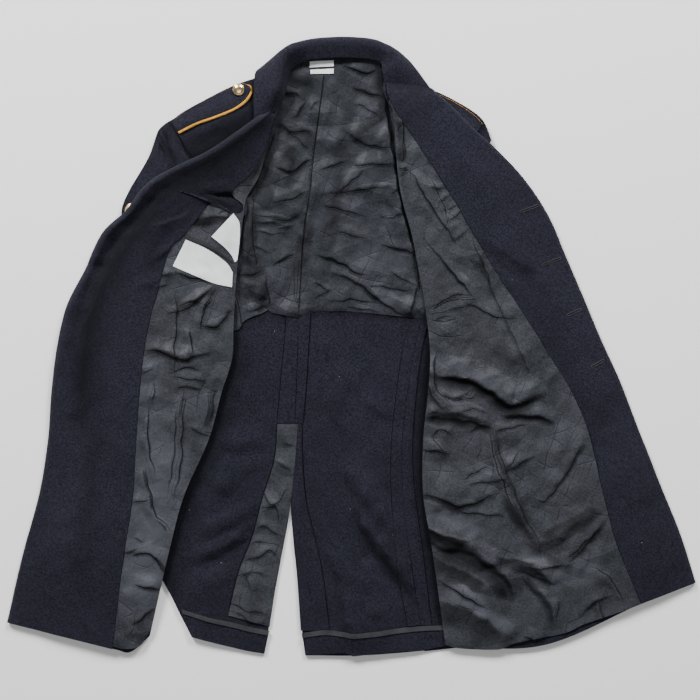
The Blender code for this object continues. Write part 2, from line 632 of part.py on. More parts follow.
# The largest folds of the front linings: (x, y, x, y, width, height).
LINING_FOLDS_RIGHT = (
    (-268, -8, -165, -12, 9, 3.0),
    (-250, 60, -170, 75, 9, 2.2),
    (-196, 100, -186, -100, 10, 2.0),
    (-270, -60, -205, -95, 11, 2.4),
    (-278, -150, -215, -185, 11, 2.6),
    (-285, -215, -250, -255, 11, 2.4),
    (-300, -330, -270, -300, 10, 2.0),
)
LINING_FOLDS_LEFT = (
    (90, 185, 150, 120, 12, 2.2),
    (100, 85, 215, 40, 12, 2.4),
    (105, -45, 175, -90, 13, 4.0),
    (158, -60, 245, -78, 11, 3.2),
    (100, -110, 190, -100, 11, 2.6),
    (185, -95, 245, -240, 10, 2.6),
    (120, -170, 200, -235, 12, 2.6),
    (250, -150, 325, -105, 11, 2.4),
    (150, -330, 215, -250, 13, 2.6),
    (255, -330, 330, -230, 12, 2.4),
)

FRONTS = (
    ("right", RIGHT_FRONT, RIGHT_FRONT_DOWN, LINING_FOLDS_RIGHT),
    ("left", LEFT_FRONT, LEFT_FRONT_DOWN, LINING_FOLDS_LEFT),
)
BELOW_FRONT = ("yoke_lining_", "top_sleeve_", "front_shoulder_", "shoulder_strap_")

for side, rows, down, folds in FRONTS:
    under = tuple(name + side for name in BELOW_FRONT) + BACK_WOOL
    under += ("side_allowance_back", "side_allowance_side") if side == "left" else ()
    grid = front_grid(rows, down, under)
    cloth("front_" + side, grid, WOOL, "wool")
    cloth("facing_" + side, grid, FACING, "wool", low=WOOL + LAYER_GAP,
          columns=slice(None, FACING_COLUMNS + 1), end=SEAM_GAP)
    cloth("front_lining_" + side, grid, LINING, "lining", low=WOOL + LAYER_GAP,
          columns=slice(FACING_COLUMNS, None), start=SEAM_GAP, folds=folds)

# ---------------------------------------------------------------- labels and pocket

# Woven labels and the inside pocket's welt lie on the linings.
SIZE_LABEL = (Strip((-55, 380.5), (-55, 372)), Strip((-23, 381.5), (-23, 373)))
LOT_LABEL = (Strip((-54, 370.5), (-54, 365)), Strip((-23, 371.5), (-23, 366)))
CARE_LABEL = (
    Strip((-219, 143), (-236, 108)),
    Strip((-190, 130), (-204, 94)),
    Strip((-166, 113), (-181, 85)),
    Strip((-157, 100), (-158, 80)),
)
NAME_LABEL = (
    Strip((-157, 177), (-183, 148)),
    Strip((-149, 163), (-168, 135)),
    Strip((-149, 140), (-159, 124)),
    Strip((-151, 116), (-154, 113)),
)
POCKET_WELT = (
    Strip((-224, 152), (-221, 145.5)),
    Strip((-190, 138), (-187, 131.5)),
    Strip((-164, 119), (-160, 114)),
)
NECK = ("yoke_lining_left", "yoke_lining_right", "back_left", "back_right")
RIGHT_LINING = ("front_lining_right", "facing_right")
PATCHES = (
    ("size_label", SIZE_LABEL, NECK, TAPE, "label"),
    ("lot_label", LOT_LABEL, NECK, TAPE, "label"),
    ("care_label", CARE_LABEL, RIGHT_LINING, TAPE, "label"),
    ("name_label", NAME_LABEL, RIGHT_LINING, TAPE, "label"),
    ("pocket_welt_right", POCKET_WELT, RIGHT_LINING, LINING, "lining"),
)

for name, rows, under, wall, finish in PATCHES:
    sections = [((*row.inner, 0), (*row.outer, 0)) for row in rows]
    patch = laid_on(loft(sections, 2, [3]), under, LAYER_GAP, reach=6.0)
    cloth(name, patch, wall, finish)

# ---------------------------------------------------------------- buttons

# Domed brass buttons: a rim, a hollow behind it and a raised dome.
BUTTON_STEPS = 16


def button(name, place, height, diameter):
    """A domed button turned from its profile, standing on its back."""
    radius = diameter / 2
    profile = (
        (0.0, 0.42), (0.40, 0.38), (0.72, 0.27), (0.86, 0.17), (0.93, 0.20), (1.0, 0.12),
        (0.96, 0.03), (0.0, 0.0),
    )
    mesh = bpy.data.meshes.new(name)
    points = [(out * radius * MM, 0.0, rise * radius * MM) for out, rise in profile]
    mesh.from_pydata(points, [(i, i + 1) for i in range(len(points) - 1)], [])
    obj = bpy.data.objects.new(name, mesh)
    tunic.objects.link(obj)
    turned = obj.modifiers.new("turned", "SCREW")
    turned.steps = BUTTON_STEPS
    turned.render_steps = BUTTON_STEPS
    turned.use_merge_vertices = True
    turned.merge_threshold = 0.00002
    obj.location = (place[0] * MM, place[1] * MM, height * MM)
    give_material(obj, "brass")


STRAP_BUTTON_PLACE = (-149, 342)
FRONT_BUTTON_PLACES = ((-289, 181), (-331, 121), (-359, 50), (-375, -24))

height = height_under(*STRAP_BUTTON_PLACE, ("shoulder_strap_right",), STRAP_BUTTON / 2)
button("strap_button_right", STRAP_BUTTON_PLACE, height + LAYER_GAP, STRAP_BUTTON)
BELOW_BUTTON = ("top_sleeve_right", "under_sleeve_right", "side_right")
for number, place in enumerate(FRONT_BUTTON_PLACES, start=1):
    height = height_under(*place, BELOW_BUTTON, FRONT_BUTTON / 2)
    button(f"front_button_{number}", place, height + LAYER_GAP, FRONT_BUTTON)
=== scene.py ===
import math
from collections import namedtuple

import bpy
import numpy as np
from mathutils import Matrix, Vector
from mathutils.bvhtree import BVHTree


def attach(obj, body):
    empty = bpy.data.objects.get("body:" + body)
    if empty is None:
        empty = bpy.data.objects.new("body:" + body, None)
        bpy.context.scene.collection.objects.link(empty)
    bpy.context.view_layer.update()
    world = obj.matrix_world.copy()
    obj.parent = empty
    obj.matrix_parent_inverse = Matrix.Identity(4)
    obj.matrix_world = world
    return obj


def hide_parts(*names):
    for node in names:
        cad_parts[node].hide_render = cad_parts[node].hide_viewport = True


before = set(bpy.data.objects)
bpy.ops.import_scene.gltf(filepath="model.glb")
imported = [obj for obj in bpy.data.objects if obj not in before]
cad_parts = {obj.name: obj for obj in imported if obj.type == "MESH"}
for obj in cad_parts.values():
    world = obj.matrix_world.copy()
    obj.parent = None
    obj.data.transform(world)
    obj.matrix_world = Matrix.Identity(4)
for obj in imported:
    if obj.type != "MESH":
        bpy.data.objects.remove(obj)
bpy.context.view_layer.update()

# ------------------------------------------------------------------ the back
# The back is two panels and two side panels of dark napped wool.  They meet in pressed-open
# seams, and the centre seam opens into a vent.  Below the waist their wrong side shows.

MM = 0.001
WOOL = 1.8
UNDERSIDE = 0.05        # the lowest that any cloth's underside lies
HIGH = 1.0              # metres up, well above the tunic
CURVE_STEPS = 12        # steps in each span of a curve that is then put at even steps
FOLD_STEPS = 5          # steps in each span of the path of a fold or a mark
FOLD_ENDS = 0.38        # share of a fold's length over which each end fades out
FOLD_UNEVEN = 0.25      # how much a fold's height varies along it
WANDER = 1.4            # how far folds and hollows sway off their paths
SHARP_EDGE = 60         # an edge sharper than this many degrees isn't shaded smooth

# How far apart a piece's places are laid, how many cells each step is then made into, and how
# often the heights are eased.
Cut = namedtuple("Cut", "step cells ease")
Fold = namedtuple("Fold", "height left right crest path")


def smooth(points, cells):
    """Points on a smooth curve through the given ones, with cells steps in each span."""
    points = np.asarray(points, float)
    first = 2 * points[0] - points[1]
    last = 2 * points[-1] - points[-2]
    knots = np.concatenate([first[None], points, last[None]])
    a, b, c, d = knots[:-3], knots[1:-2], knots[2:-1], knots[3:]
    line = []
    for step in range(cells):
        t = step / cells
        line.append(0.5 * (2 * b + (c - a) * t + (2 * a - 5 * b + 4 * c - d) * t * t
                           + (3 * b - a - 3 * c + d) * t ** 3))
    line = np.stack(line, axis=1).reshape(-1, *points.shape[1:])
    return np.concatenate([line, points[-1:]])


def gone_along(line):
    """How far along a line each of its points is."""
    return np.concatenate([[0], np.cumsum(np.linalg.norm(np.diff(line, axis=0), axis=1))])


def sampled(lines, gone, count):
    """A line, or several side by side, put at count even steps of the way gone."""
    even = np.linspace(0, gone[-1], count)
    columns = lines.reshape(len(lines), -1).T
    places = np.stack([np.interp(even, gone, column) for column in columns], axis=1)
    return places.reshape(count, *lines.shape[1:])


def loft(sections, step):
    """A flat grid of places between sections across the cloth, about a step apart."""
    fine = smooth([list(section) for section in sections], CURVE_STEPS)
    gone = gone_along(fine[:, fine.shape[1] // 2])
    rows = sampled(fine, gone, max(3, round(gone[-1] / step) + 1))
    widest = np.linalg.norm(np.diff(rows, axis=1), axis=2).sum(axis=1).max()
    count = max(3, round(widest / step) + 1)
    curves = [smooth(row, CURVE_STEPS) for row in rows]
    return np.array([sampled(curve, gone_along(curve), count) for curve in curves])


surfaces = {}


def surface_of(name):
    """The surface of a solid or of a finished piece, to lay cloth on."""
    if name not in surfaces:
        mesh = bpy.data.objects[name].data
        places = [vertex.co.copy() for vertex in mesh.vertices]
        surfaces[name] = BVHTree.FromPolygons(places, [p.vertices[:] for p in mesh.polygons])
    return surfaces[name]


def height_at(x, y, names):
    """The highest point of the named surfaces at a place, or None."""
    highest = None
    for name in names:
        hit = surface_of(name).ray_cast(Vector((x * MM, y * MM, HIGH)), Vector((0, 0, -1)))[0]
        if hit is not None and (highest is None or hit.z / MM > highest):
            highest = hit.z / MM
    return highest


def eased(heights, passes):
    """Heights smoothed over their neighbours, in this many passes."""
    for _ in range(passes):
        padded = np.pad(heights, 1, mode="edge")
        heights = (padded[:-2, 1:-1] + padded[2:, 1:-1] + padded[1:-1, :-2] + padded[1:-1, 2:]
                   + 4 * heights) / 8
    return heights


def settle(plan, names, ease, gap):
    """A grid of places laid on the named surfaces."""
    heights = np.full(plan.shape[:2], np.nan)
    for i, row in enumerate(plan):
        for j, (x, y) in enumerate(row[:, :2]):
            found = height_at(x, y, names)
            if found is not None:
                heights[i, j] = found
    for row in heights:
        known = ~np.isnan(row)
        if known.any():
            row[~known] = np.interp(np.flatnonzero(~known), np.flatnonzero(known), row[known])
    for i in range(1, len(heights)):
        heights[i] = np.where(np.isnan(heights[i]), heights[i - 1], heights[i])
    heights = np.where(np.isnan(heights), np.nanmean(heights), heights)
    return np.dstack([plan[:, :, :2], eased(heights, ease) + gap])


def finer(grid, cells):
    """The grid with cells steps in each of its cells, both ways."""
    return np.swapaxes(smooth(np.swapaxes(smooth(grid, cells), 0, 1), cells), 0, 1)


def laid(rows, cut, names, gap=0.0):
    """Cloth cut between the rows and laid on the named surfaces."""
    return finer(settle(loft(rows, cut.step), names, cut.ease, gap), cut.cells)


def drift(x, y, length):
    """A slow, uneven sway between -1 and 1, about a length long."""
    k = 2 * math.pi / length
    sway = np.sin(k * (x + 0.31 * y) + 1.7 * np.sin(0.43 * k * y))
    return 0.5 * (sway + np.sin(k * (0.83 * y - 0.47 * x) + 1.3 * np.sin(0.61 * k * x + 2.0)))


def beside(spots, line):
    """How far each spot is from a line, on which hand of it, and how far along it."""
    away = np.full(len(spots), np.inf)
    left = np.zeros(len(spots), bool)
    along = np.zeros(len(spots))
    gone = 0.0
    for start, end in zip(line, line[1:]):
        run = end - start
        length = np.linalg.norm(run)
        share = np.clip((spots - start) @ run / length ** 2, 0, 1)
        off = spots - (start + share[:, None] * run)
        distance = np.linalg.norm(off, axis=1)
        closer = distance < away
        away = np.where(closer, distance, away)
        left = np.where(closer, run[0] * off[:, 1] - run[1] * off[:, 0] > 0, left)
        along = np.where(closer, gone + share * length, along)
        gone += length
    return away, left, along, gone


def ends_faded(along, gone, share):
    """1 along a path, falling to 0 over this share of it at each end."""
    return np.clip(np.minimum(along, gone - along) / (share * gone), 0, 1)


def near_to(grid, line, reach):
    """Which points of a grid are within reach of a line's box, and where they are."""
    low = line.min(axis=0) - reach
    high = line.max(axis=0) + reach
    near = ((grid[:, :, :2] > low) & (grid[:, :, :2] < high)).all(axis=2)
    return near, grid[near][:, :2]


def swayed(spots, wander):
    """Places moved a little this way and that, so that no fold runs quite straight."""
    return spots + wander * np.stack([drift(spots[:, 0], spots[:, 1], 27),
                                      drift(spots[:, 1], spots[:, 0], 23)], axis=1)


def folded(grid, folds):
    """How far folds lift a grid: each runs along its path, with a slope of its own on each hand."""
    lift = np.zeros(grid.shape[:2])
    for fold in folds:
        line = smooth(fold.path, FOLD_STEPS)
        near, spots = near_to(grid, line, 1.4 * max(fold.left, fold.right) + 3 * WANDER)
        away, left, along, gone = beside(swayed(spots, WANDER), line)
        width = np.where(left, fold.left, fold.right)
        round_top = 0.6 * fold.crest
        slope = np.sqrt((away / width) ** 2 + round_top ** 2) - round_top
        fade = ends_faded(along, gone, FOLD_ENDS)
        fade = fade * (1.6 - 0.6 * fade)
        fade *= 1 + FOLD_UNEVEN * drift(along, away + fold.path[0][0], 37)
        lift[near] += fold.height * fade * np.clip(1 - slope, 0, 1) ** 1.1
    return lift


SHARP = 4.1             # a fold with a side narrower than this is pressed into a crease
CREASE_WIDTH = 0.9      # the least width of a crease
CREASE_REACH = 6.0      # how far round a crease its marks go, in widths of the crease
CREASE_ENDS = 0.25      # shares of their length over which the ends fade out
SEAM_ENDS = 0.04
PAINTED_SHADE_ENDS = 0.15

# A mark is a pressed line: the finish dents it and paints it dark, as painted shade. A painted
# shading is a patch painted dark as painted shade, or painted light as painted highlight where its
# depth is below nothing.
Mark = namedtuple("Mark", "width depth path")
PaintedShading = namedtuple("PaintedShading", "left right depth path")


def crease_and_shade_marks(grid, folds, seams, painted_shades, fade=1.0):
    """For the finish: how many widths off its nearest crease each point is, how deep that is, and how
    much shade is painted on it, or less than nothing where a highlight is painted.
    A low fade leaves the edges of both sharp."""
    lines = []
    # Each sharp fold gets a crease along its steep side, dented and painted dark as painted shade.
    for fold in folds:
        steep = min(fold.left, fold.right)
        if steep <= SHARP:
            shift = math.copysign(0.6 * steep, fold.right - fold.left)
            depth = min(abs(fold.height) / 3, 1)
            mark = Mark(max(CREASE_WIDTH, 0.35 * steep), depth, fold.path)
            lines.append((mark, shift, WANDER, CREASE_ENDS))
    lines += [(mark, 0.0, 0.0, SEAM_ENDS) for mark in seams]
    marks = np.zeros((*grid.shape[:2], 3))
    marks[:, :, 0] = CREASE_REACH
    for mark, shift, wander, ends in lines:
        line = smooth(mark.path, FOLD_STEPS)
        near, spots = near_to(grid, line, (CREASE_REACH + 1) * mark.width + abs(shift))
        away, left, along, gone = beside(swayed(spots, wander), line)
        off = (np.where(left, away, -away) - shift) / mark.width
        depth = mark.depth * ends_faded(along, gone, ends)
        depth *= np.clip(1.3 - abs(off) / CREASE_REACH, 0, 1)
        found = marks[near]
        closer = abs(off) < abs(found[:, 0])
        found[:, 0] = np.where(closer, off, found[:, 0])
        found[:, 1] = np.where(closer, depth, found[:, 1])
        marks[near] = found
    # Painted shading: dark as painted shade, or light as painted highlight where the depth is below
    # nothing.
    for painted_shading in painted_shades:
        line = smooth(painted_shading.path, FOLD_STEPS)
        near, spots = near_to(grid, line, 1.2 * max(painted_shading.left, painted_shading.right))
        away, left, along, gone = beside(swayed(spots, WANDER), line)
        deep = np.clip(1 - away / np.where(left, painted_shading.left, painted_shading.right), 0, 1)
        deep = painted_shading.depth * deep ** fade
        deep *= ends_faded(along, gone, PAINTED_SHADE_ENDS)
        found = marks[:, :, 2][near]
        marks[:, :, 2][near] = np.where(abs(deep) > abs(found), deep, found)
    return marks


def uneven(grid, waves):
    """The slow rise and fall of a grid's cloth: each wave has a height and a length."""
    return sum(height * drift(grid[:, :, 0], grid[:, :, 1], length) for height, length in waves)


def normals(grid):
    """The unit normal at each point of a grid, on its upper side."""
    normal = np.cross(np.gradient(grid, axis=0), np.gradient(grid, axis=1))
    normal /= np.maximum(np.linalg.norm(normal, axis=2, keepdims=True), 1e-9)
    return normal * np.sign(np.sum(normal[:, :, 2]))


def in_scene(name, data):
    """A new object in the scene that shows this mesh, lamp or lens."""
    item = bpy.data.objects.new(name, data)
    bpy.context.scene.collection.objects.link(item)
    return item


def shell(node, grid, wall, material, marks=None):
    """A cut piece of cloth in place of its solid: the grid is its upper face."""
    rows, columns = grid.shape[:2]
    lower = grid - normals(grid) * wall
    lower[:, :, 2] = np.maximum(lower[:, :, 2], UNDERSIDE)
    spots = np.arange(rows * columns).reshape(rows, columns)
    quads = np.stack([spots[:-1, :-1], spots[1:, :-1], spots[1:, 1:], spots[:-1, 1:]], axis=2)
    quads = quads.reshape(-1, 4)
    rim = np.concatenate([spots[:, 0], spots[-1, 1:], spots[-2::-1, -1], spots[0, -2:0:-1]])
    sides = np.stack([rim, np.roll(rim, -1)], axis=1)
    sides = np.concatenate([sides[:, ::-1], sides + rows * columns], axis=1)
    faces = np.concatenate([quads, quads[:, ::-1] + rows * columns, sides])
    turn = np.cross(grid[1, 0] - grid[0, 0], grid[0, 1] - grid[0, 0])
    if turn @ normals(grid)[0, 0] < 0:
        faces = faces[:, ::-1]
    mesh = bpy.data.meshes.new(node + "_cloth")
    mesh.from_pydata(np.concatenate([grid.reshape(-1, 3), lower.reshape(-1, 3)]) * MM, [],
                     faces.tolist())
    mesh.shade_smooth()
    mesh.set_sharp_from_angle(angle=math.radians(SHARP_EDGE))
    mesh.materials.append(material)
    if marks is not None:
        # The crease attribute carries the creases and the painted shade and highlights that the
        # finish paints.
        layer = mesh.attributes.new("crease_and_painted_shade", "FLOAT_VECTOR", "POINT")
        layer.data.foreach_set("vector", np.concatenate([marks, marks * 0]).ravel())
    piece = in_scene(node + "_cloth", mesh)
    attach(piece, "root")
    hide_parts(node)
    return piece


def cloth(node, grid, wall, material, marks=None):
    """A cut piece of cloth that is a sheet of its own."""
    shell(node, grid, wall, material, marks)


def add(tree, kind, settings=(), values=(), **inputs):
    """A shader node with its settings, its inputs by number (values) or by name."""
    made = tree.nodes.new("ShaderNode" + kind)
    for key, value in dict(settings).items():
        setattr(made, key, value)
    for socket, value in list(enumerate(values)) + list(inputs.items()):
        if isinstance(socket, str):
            socket = socket.replace("_", " ")
        if isinstance(value, bpy.types.NodeSocket):
            tree.links.new(value, made.inputs[socket])
        elif value is not None:
            made.inputs[socket].default_value = value
    return made


def mixed(tree, share, first, second):
    """The colour that lies share of the way from the first to the second."""
    blend = add(tree, "Mix", {"data_type": "RGBA"}, Factor=share)
    for socket, value in ((blend.inputs[6], first), (blend.inputs[7], second)):
        if isinstance(value, bpy.types.NodeSocket):
            tree.links.new(value, socket)
        else:
            socket.default_value = value
    return blend.outputs[2]


def ranged(tree, value, low, high, out_low=0.0, out_high=1.0):
    """A value mapped from one range to another, and held inside it."""
    made = add(tree, "MapRange", values=(value, low, high, out_low, out_high))
    return made.outputs[0]


def maths(tree, operation, first, second=0.0):
    """The result of one sum on two values."""
    return add(tree, "Math", {"operation": operation}, (first, second)).outputs[0]


def times(tree, first, second):
    """The product of two values."""
    return maths(tree, "MULTIPLY", first, second)


def plus(tree, first, second):
    """The sum of two values."""
    return maths(tree, "ADD", first, second)


def less(tree, first, second):
    """The first value less the second."""
    return maths(tree, "SUBTRACT", first, second)


def larger(tree, first, second):
    """The larger of two values."""
    return maths(tree, "MAXIMUM", first, second)


def noise(tree, coords, scale, detail, roughness=0.5):
    """The value of a soft, uneven noise."""
    made = add(tree, "TexNoise", Vector=coords, Scale=scale, Detail=detail, Roughness=roughness)
    return made.outputs[0]


def grouped(tree, group, **values):
    """A shader group placed in a tree, with its inputs' values."""
    node = tree.nodes.new("ShaderNodeGroup")
    node.node_tree = group
    for socket, value in values.items():
        node.inputs[socket].default_value = value
    return node.outputs


def new_material(name):
    """A new material, with its tree and its shader."""
    material = bpy.data.materials.new(name)
    material.use_nodes = True
    return material, material.node_tree, material.node_tree.nodes["Principled BSDF"]


def new_group(name, ins, outs):
    """An empty shader group: ins maps a socket's name to its kind and first value."""
    group = bpy.data.node_groups.new(name, "ShaderNodeTree")
    for label, kind, value in ins:
        socket = group.interface.new_socket(label, in_out="INPUT", socket_type="NodeSocket" + kind)
        socket.default_value = value
    for label, kind in outs:
        group.interface.new_socket(label, in_out="OUTPUT", socket_type="NodeSocket" + kind)
    return group, group.nodes.new("NodeGroupInput").outputs, group.nodes.new("NodeGroupOutput")


def place_in(tree, scale=(1, 1, 1)):
    """Coordinates in the object's own frame, scaled."""
    coords = add(tree, "TexCoord").outputs["Object"]
    return add(tree, "Mapping", Vector=coords, Scale=scale).outputs[0]


def crease_group():
    """Where cloth is pressed into creases: the mask is 1 along their middle, where the finish dents
    it and paints it dark as painted shade. The second output is the painted shading: shade painted on
    a point, or below nothing where a highlight is painted.
    """
    ins = (("Width", "Float", 1.0), ("Waver", "Float", 0.5))
    outs = (("Mask", "Float"), ("PaintedShading", "Float"))
    group, given, out = new_group("creases_and_painted_shade", ins, outs)
    marks = add(group, "Attribute", {"attribute_name": "crease_and_painted_shade"}).outputs["Vector"]
    parts = add(group, "SeparateXYZ", values=(marks,)).outputs
    sway = noise(group, place_in(group), scale=180.0, detail=2.0)
    sway = times(group, less(group, sway, 0.5), given["Waver"])
    off = maths(group, "ABSOLUTE", plus(group, parts[0], sway))
    near = ranged(group, maths(group, "DIVIDE", off, given["Width"]), 0.25, 1.0, 1.0, 0.0)
    group.links.new(times(group, near, parts[1]), out.inputs["Mask"])
    group.links.new(parts[2], out.inputs["PaintedShading"])
    return group


creases_in = crease_group()


def crease_and_shade_masks(tree, width, waver):
    """The masks of the pressed creases and of the painted shade and highlights, placed in a tree."""
    masks = grouped(tree, creases_in, Width=width, Waver=waver)
    return masks["Mask"], masks["PaintedShading"]


def wool_group():
    """Napped twill: a fine diagonal rib under loose fibres, with slow changes of tone. Along creases
    and in shaded places it is painted dark, as painted shade.
    """
    ins = (("Deep", "Color", (0.01, 0.01, 0.016, 1)), ("Nap", "Color", (0.03, 0.03, 0.045, 1)),
           ("Lint", "Float", 1.0))
    outs = (("Colour", "Color"), ("Roughness", "Float"), ("Height", "Float"))
    group, given, out = new_group("wool_nap", ins, outs)
    link = group.links.new
    coords = place_in(group)
    fibre = noise(group, coords, scale=760.0, detail=3.0, roughness=0.8)
    clump = noise(group, coords, scale=410.0, detail=2.0, roughness=0.7)
    tone = noise(group, coords, scale=11.0, detail=4.0, roughness=0.6)
    rib = add(group, "TexWave", {"wave_type": "BANDS", "bands_direction": "DIAGONAL"},
              Vector=coords, Scale=520.0, Distortion=1.2, Detail=1.0)
    speck = ranged(group, fibre, 0.30, 0.70)
    patch = ranged(group, clump, 0.34, 0.66)
    grain = plus(group, times(group, speck, 0.4), times(group, patch, 0.6))
    base = mixed(group, grain, given["Deep"], given["Nap"])
    slow = ranged(group, tone, 0.3, 0.7, 0.88, 1.12)
    toned = add(group, "HueSaturation", Color=base, Value=slow).outputs[0]
    dots = add(group, "TexVoronoi", Vector=coords, Scale=70.0)
    lint = maths(group, "LESS_THAN", dots.outputs["Distance"], 0.035)
    rare = add(group, "SeparateColor", values=(dots.outputs["Color"],)).outputs[0]
    lint = times(group, lint, maths(group, "GREATER_THAN", rare, 0.86))
    lint = times(group, lint, given["Lint"])
    # Creases and shaded places are painted dark, as painted shade.
    crease_and_painted_shade, painted_shading = crease_and_shade_masks(group, 1.0, 0.3)
    painted_shade = larger(group, times(group, crease_and_painted_shade, 0.75), painted_shading)
    shaded = mixed(group, painted_shade, toned, (0.001, 0.001, 0.002, 1))
    link(mixed(group, lint, shaded, (0.30, 0.30, 0.32, 1)), out.inputs["Colour"])
    link(ranged(group, grain, 0.0, 1.0, 0.98, 0.86), out.inputs["Roughness"])
    height = plus(group, times(group, rib.outputs["Fac"], 0.35), speck)
    height = less(group, height, times(group, crease_and_painted_shade, 2.0))
    link(plus(group, height, lint), out.inputs["Height"])
    return group


def cloth_material(name, group, depth, sheen=0.0, specular=0.3, **values):
    """A cloth finish: the group's colour, roughness and relief on one shader."""
    material, tree, shader = new_material(name)
    look = grouped(tree, group, **values)
    shader.inputs["Specular IOR Level"].default_value = specular
    shader.inputs["Sheen Weight"].default_value = sheen
    shader.inputs["Sheen Roughness"].default_value = 0.5
    tree.links.new(look["Colour"], shader.inputs["Base Color"])
    tree.links.new(look["Roughness"], shader.inputs["Roughness"])
    relief = add(tree, "Bump", Height=look["Height"], Distance=depth, Strength=1.0)
    tree.links.new(relief.outputs[0], shader.inputs["Normal"])
    return material


nap = wool_group()
body_wool = cloth_material("body_wool", nap, 0.00025, sheen=0.03, specular=0.12,
                           Deep=(0.0016, 0.0017, 0.0030, 1), Nap=(0.0197, 0.0198, 0.0330, 1))

BACK_CUT = Cut(step=16, cells=5, ease=3)
BACK_WAVES = ((0.6, 47),)

Back = namedtuple("Back", "seam middle side")

LEFT_BACK = (
    Back((-27, 386), (58, 374), (176, 298)),
    Back((-45, 289), (55, 274), (162, 225)),
    Back((-63, 143), (32, 143), (126, 143)),
    Back((-70, 42), (14, 45), (94, 42)),
    Back((-72, -30), (3, -30), (78, -30)),
    Back((-75, -100), (-2, -100), (70, -100)),
    Back((-79, -163), (-5, -163), (68, -163)),
    Back((-80, -219), (-5, -220), (71, -220)),
    Back((-73, -291), (4, -291), (80, -291)),
    Back((-66, -370), (10, -370), (92, -368)),
    Back((-61, -410.5), (15, -410), (99, -404)),
)
RIGHT_BACK = (
    Back((-27, 386), (-110, 368), (-238, 298)),
    Back((-45, 289), (-126, 276), (-212, 232)),
    Back((-63, 143), (-128, 143), (-195, 143)),
    Back((-70, 42), (-134, 45), (-200, 42)),
    Back((-72, -30), (-140, -30), (-206, -30)),
    Back((-75, -100), (-145, -100), (-214, -100)),
    Back((-79, -163), (-152, -163), (-226, -163)),
    Back((-82, -219), (-160, -219), (-238, -219)),
    Back((-94, -285), (-175, -285), (-258, -285)),
    Back((-106, -352), (-170, -345), (-236, -338)),
    Back((-115.5, -408.5), (-162, -399), (-212, -386)),
)
# Soft folds of the skirt, which fan out from the waist to the hem.
LEFT_BACK_FOLDS = (
    Fold(8.0, 24, 8.5, 0.35, ((3, -200), (19, -234), (40, -264), (60, -289), (80, -318), (98, -341))),
    Fold(-4.0, 13, 13, 0.5, ((12, -246), (32, -280), (56, -310), (82, -340))),
    Fold(5.0, 20.4, 12, 0.5, ((-14, -150), (8, -184), (36, -218), (56, -258))),
    Fold(6.5, 19, 10, 0.4, ((-50, -245), (-36, -268), (-20, -300), (-11, -345), (-8, -398))),
    Fold(-4.0, 12, 12, 0.5, ((-60, -215), (-46, -252), (-26, -282), (-14, -320), (-13, -380))),
    Fold(4.5, 20.4, 13, 0.6, ((10, -280), (22, -315), (30, -355), (36, -400))),
    Fold(4.0, 18.7, 16, 0.6, ((-2, -330), (4, -365), (10, -412))),
    Fold(2.6, 15, 8, 0.4, ((14, -66), (34, -82), (52, -90), (64, -92))),
    Fold(1.8, 15.3, 14, 0.6, ((40, -20), (52, -40), (62, -56))),
    Fold(2.0, 24, 24, 0.8, ((-30, 30), (-38, -20), (-44, -90))),
    Fold(2.2, 20, 16, 0.6, ((22, 20), (2, -20), (-14, -62), (-24, -110))),
    Fold(2.4, 22, 16, 0.7, ((52, -110), (40, -150), (36, -190))),
)
RIGHT_BACK_FOLDS = (
    Fold(5.0, 12, 9, 0.3, ((-222, -284), (-196, -277), (-165, -262), (-140, -246), (-124, -230))),
    Fold(4.0, 15.3, 9, 0.4, ((-206, -250), (-172, -238), (-142, -222), (-122, -204))),
    Fold(3.6, 20.4, 12, 0.6, ((-196, -215), (-166, -180), (-140, -158), (-116, -150))),
    Fold(-3.0, 14, 14, 0.6, ((-210, -176), (-175, -200), (-150, -214))),
    Fold(3.2, 18, 12, 0.6, ((-188, -118), (-152, -128), (-125, -124), (-105, -126))),
    Fold(2.4, 22, 22, 0.8, ((-150, 30), (-150, -30), (-156, -95))),
    Fold(3.4, 20, 20, 0.7, ((-190, -296), (-186, -330), (-184, -372))),
    Fold(2.6, 16, 12, 0.6, ((-206, -316), (-176, -306), (-150, -300))),
)
# Lines pressed in the panels along the edges of the allowances that lie on them. They are dented and
# also painted dark, as painted shade cast by those edges.
PANEL_MARKS = (
    Mark(0.8, 0.9, ((-86.6, 46), (-88.6, 10), (-92.6, -30), (-98.6, -99))),
    Mark(0.9, 1.0, ((-53.2, 48), (-56.4, 0), (-59.4, -50), (-63.9, -99))),
    Mark(1.3, 1.0, ((-98.6, -100), (-102.6, -150), (-118.8, -202), (-132, -252), (-150, -298),
                    (-164, -356))),
    Mark(0.9, 1.0, ((-65.4, -100), (-64.4, -150), (-59.2, -207), (-46.2, -260), (-37.2, -304),
                    (-28.2, -377))),
    Mark(0.7, 0.8, ((80.4, 38), (68.4, -5), (56.4, -98), (52.9, -163), (55.4, -220), (61.4, -291),
                    (75.4, -371))),
    Mark(0.8, 0.9, ((104.6, 38), (93.6, -10), (83.6, -100), (82.6, -163), (88.6, -220),
                    (97.6, -286), (107.6, -370))),
    Mark(0.7, 0.7, ((-65, -381.4), (-35, -377.4), (-10, -379.4), (3, -381.4), (30, -379.4),
                    (60, -375.4), (91, -372.4), (122, -371.4))),
    Mark(0.7, 0.7, ((-109, -378.4), (-135, -373.4), (-160, -366.9), (-185, -361.4),
                    (-206, -355.4), (-226, -349.4))),
)

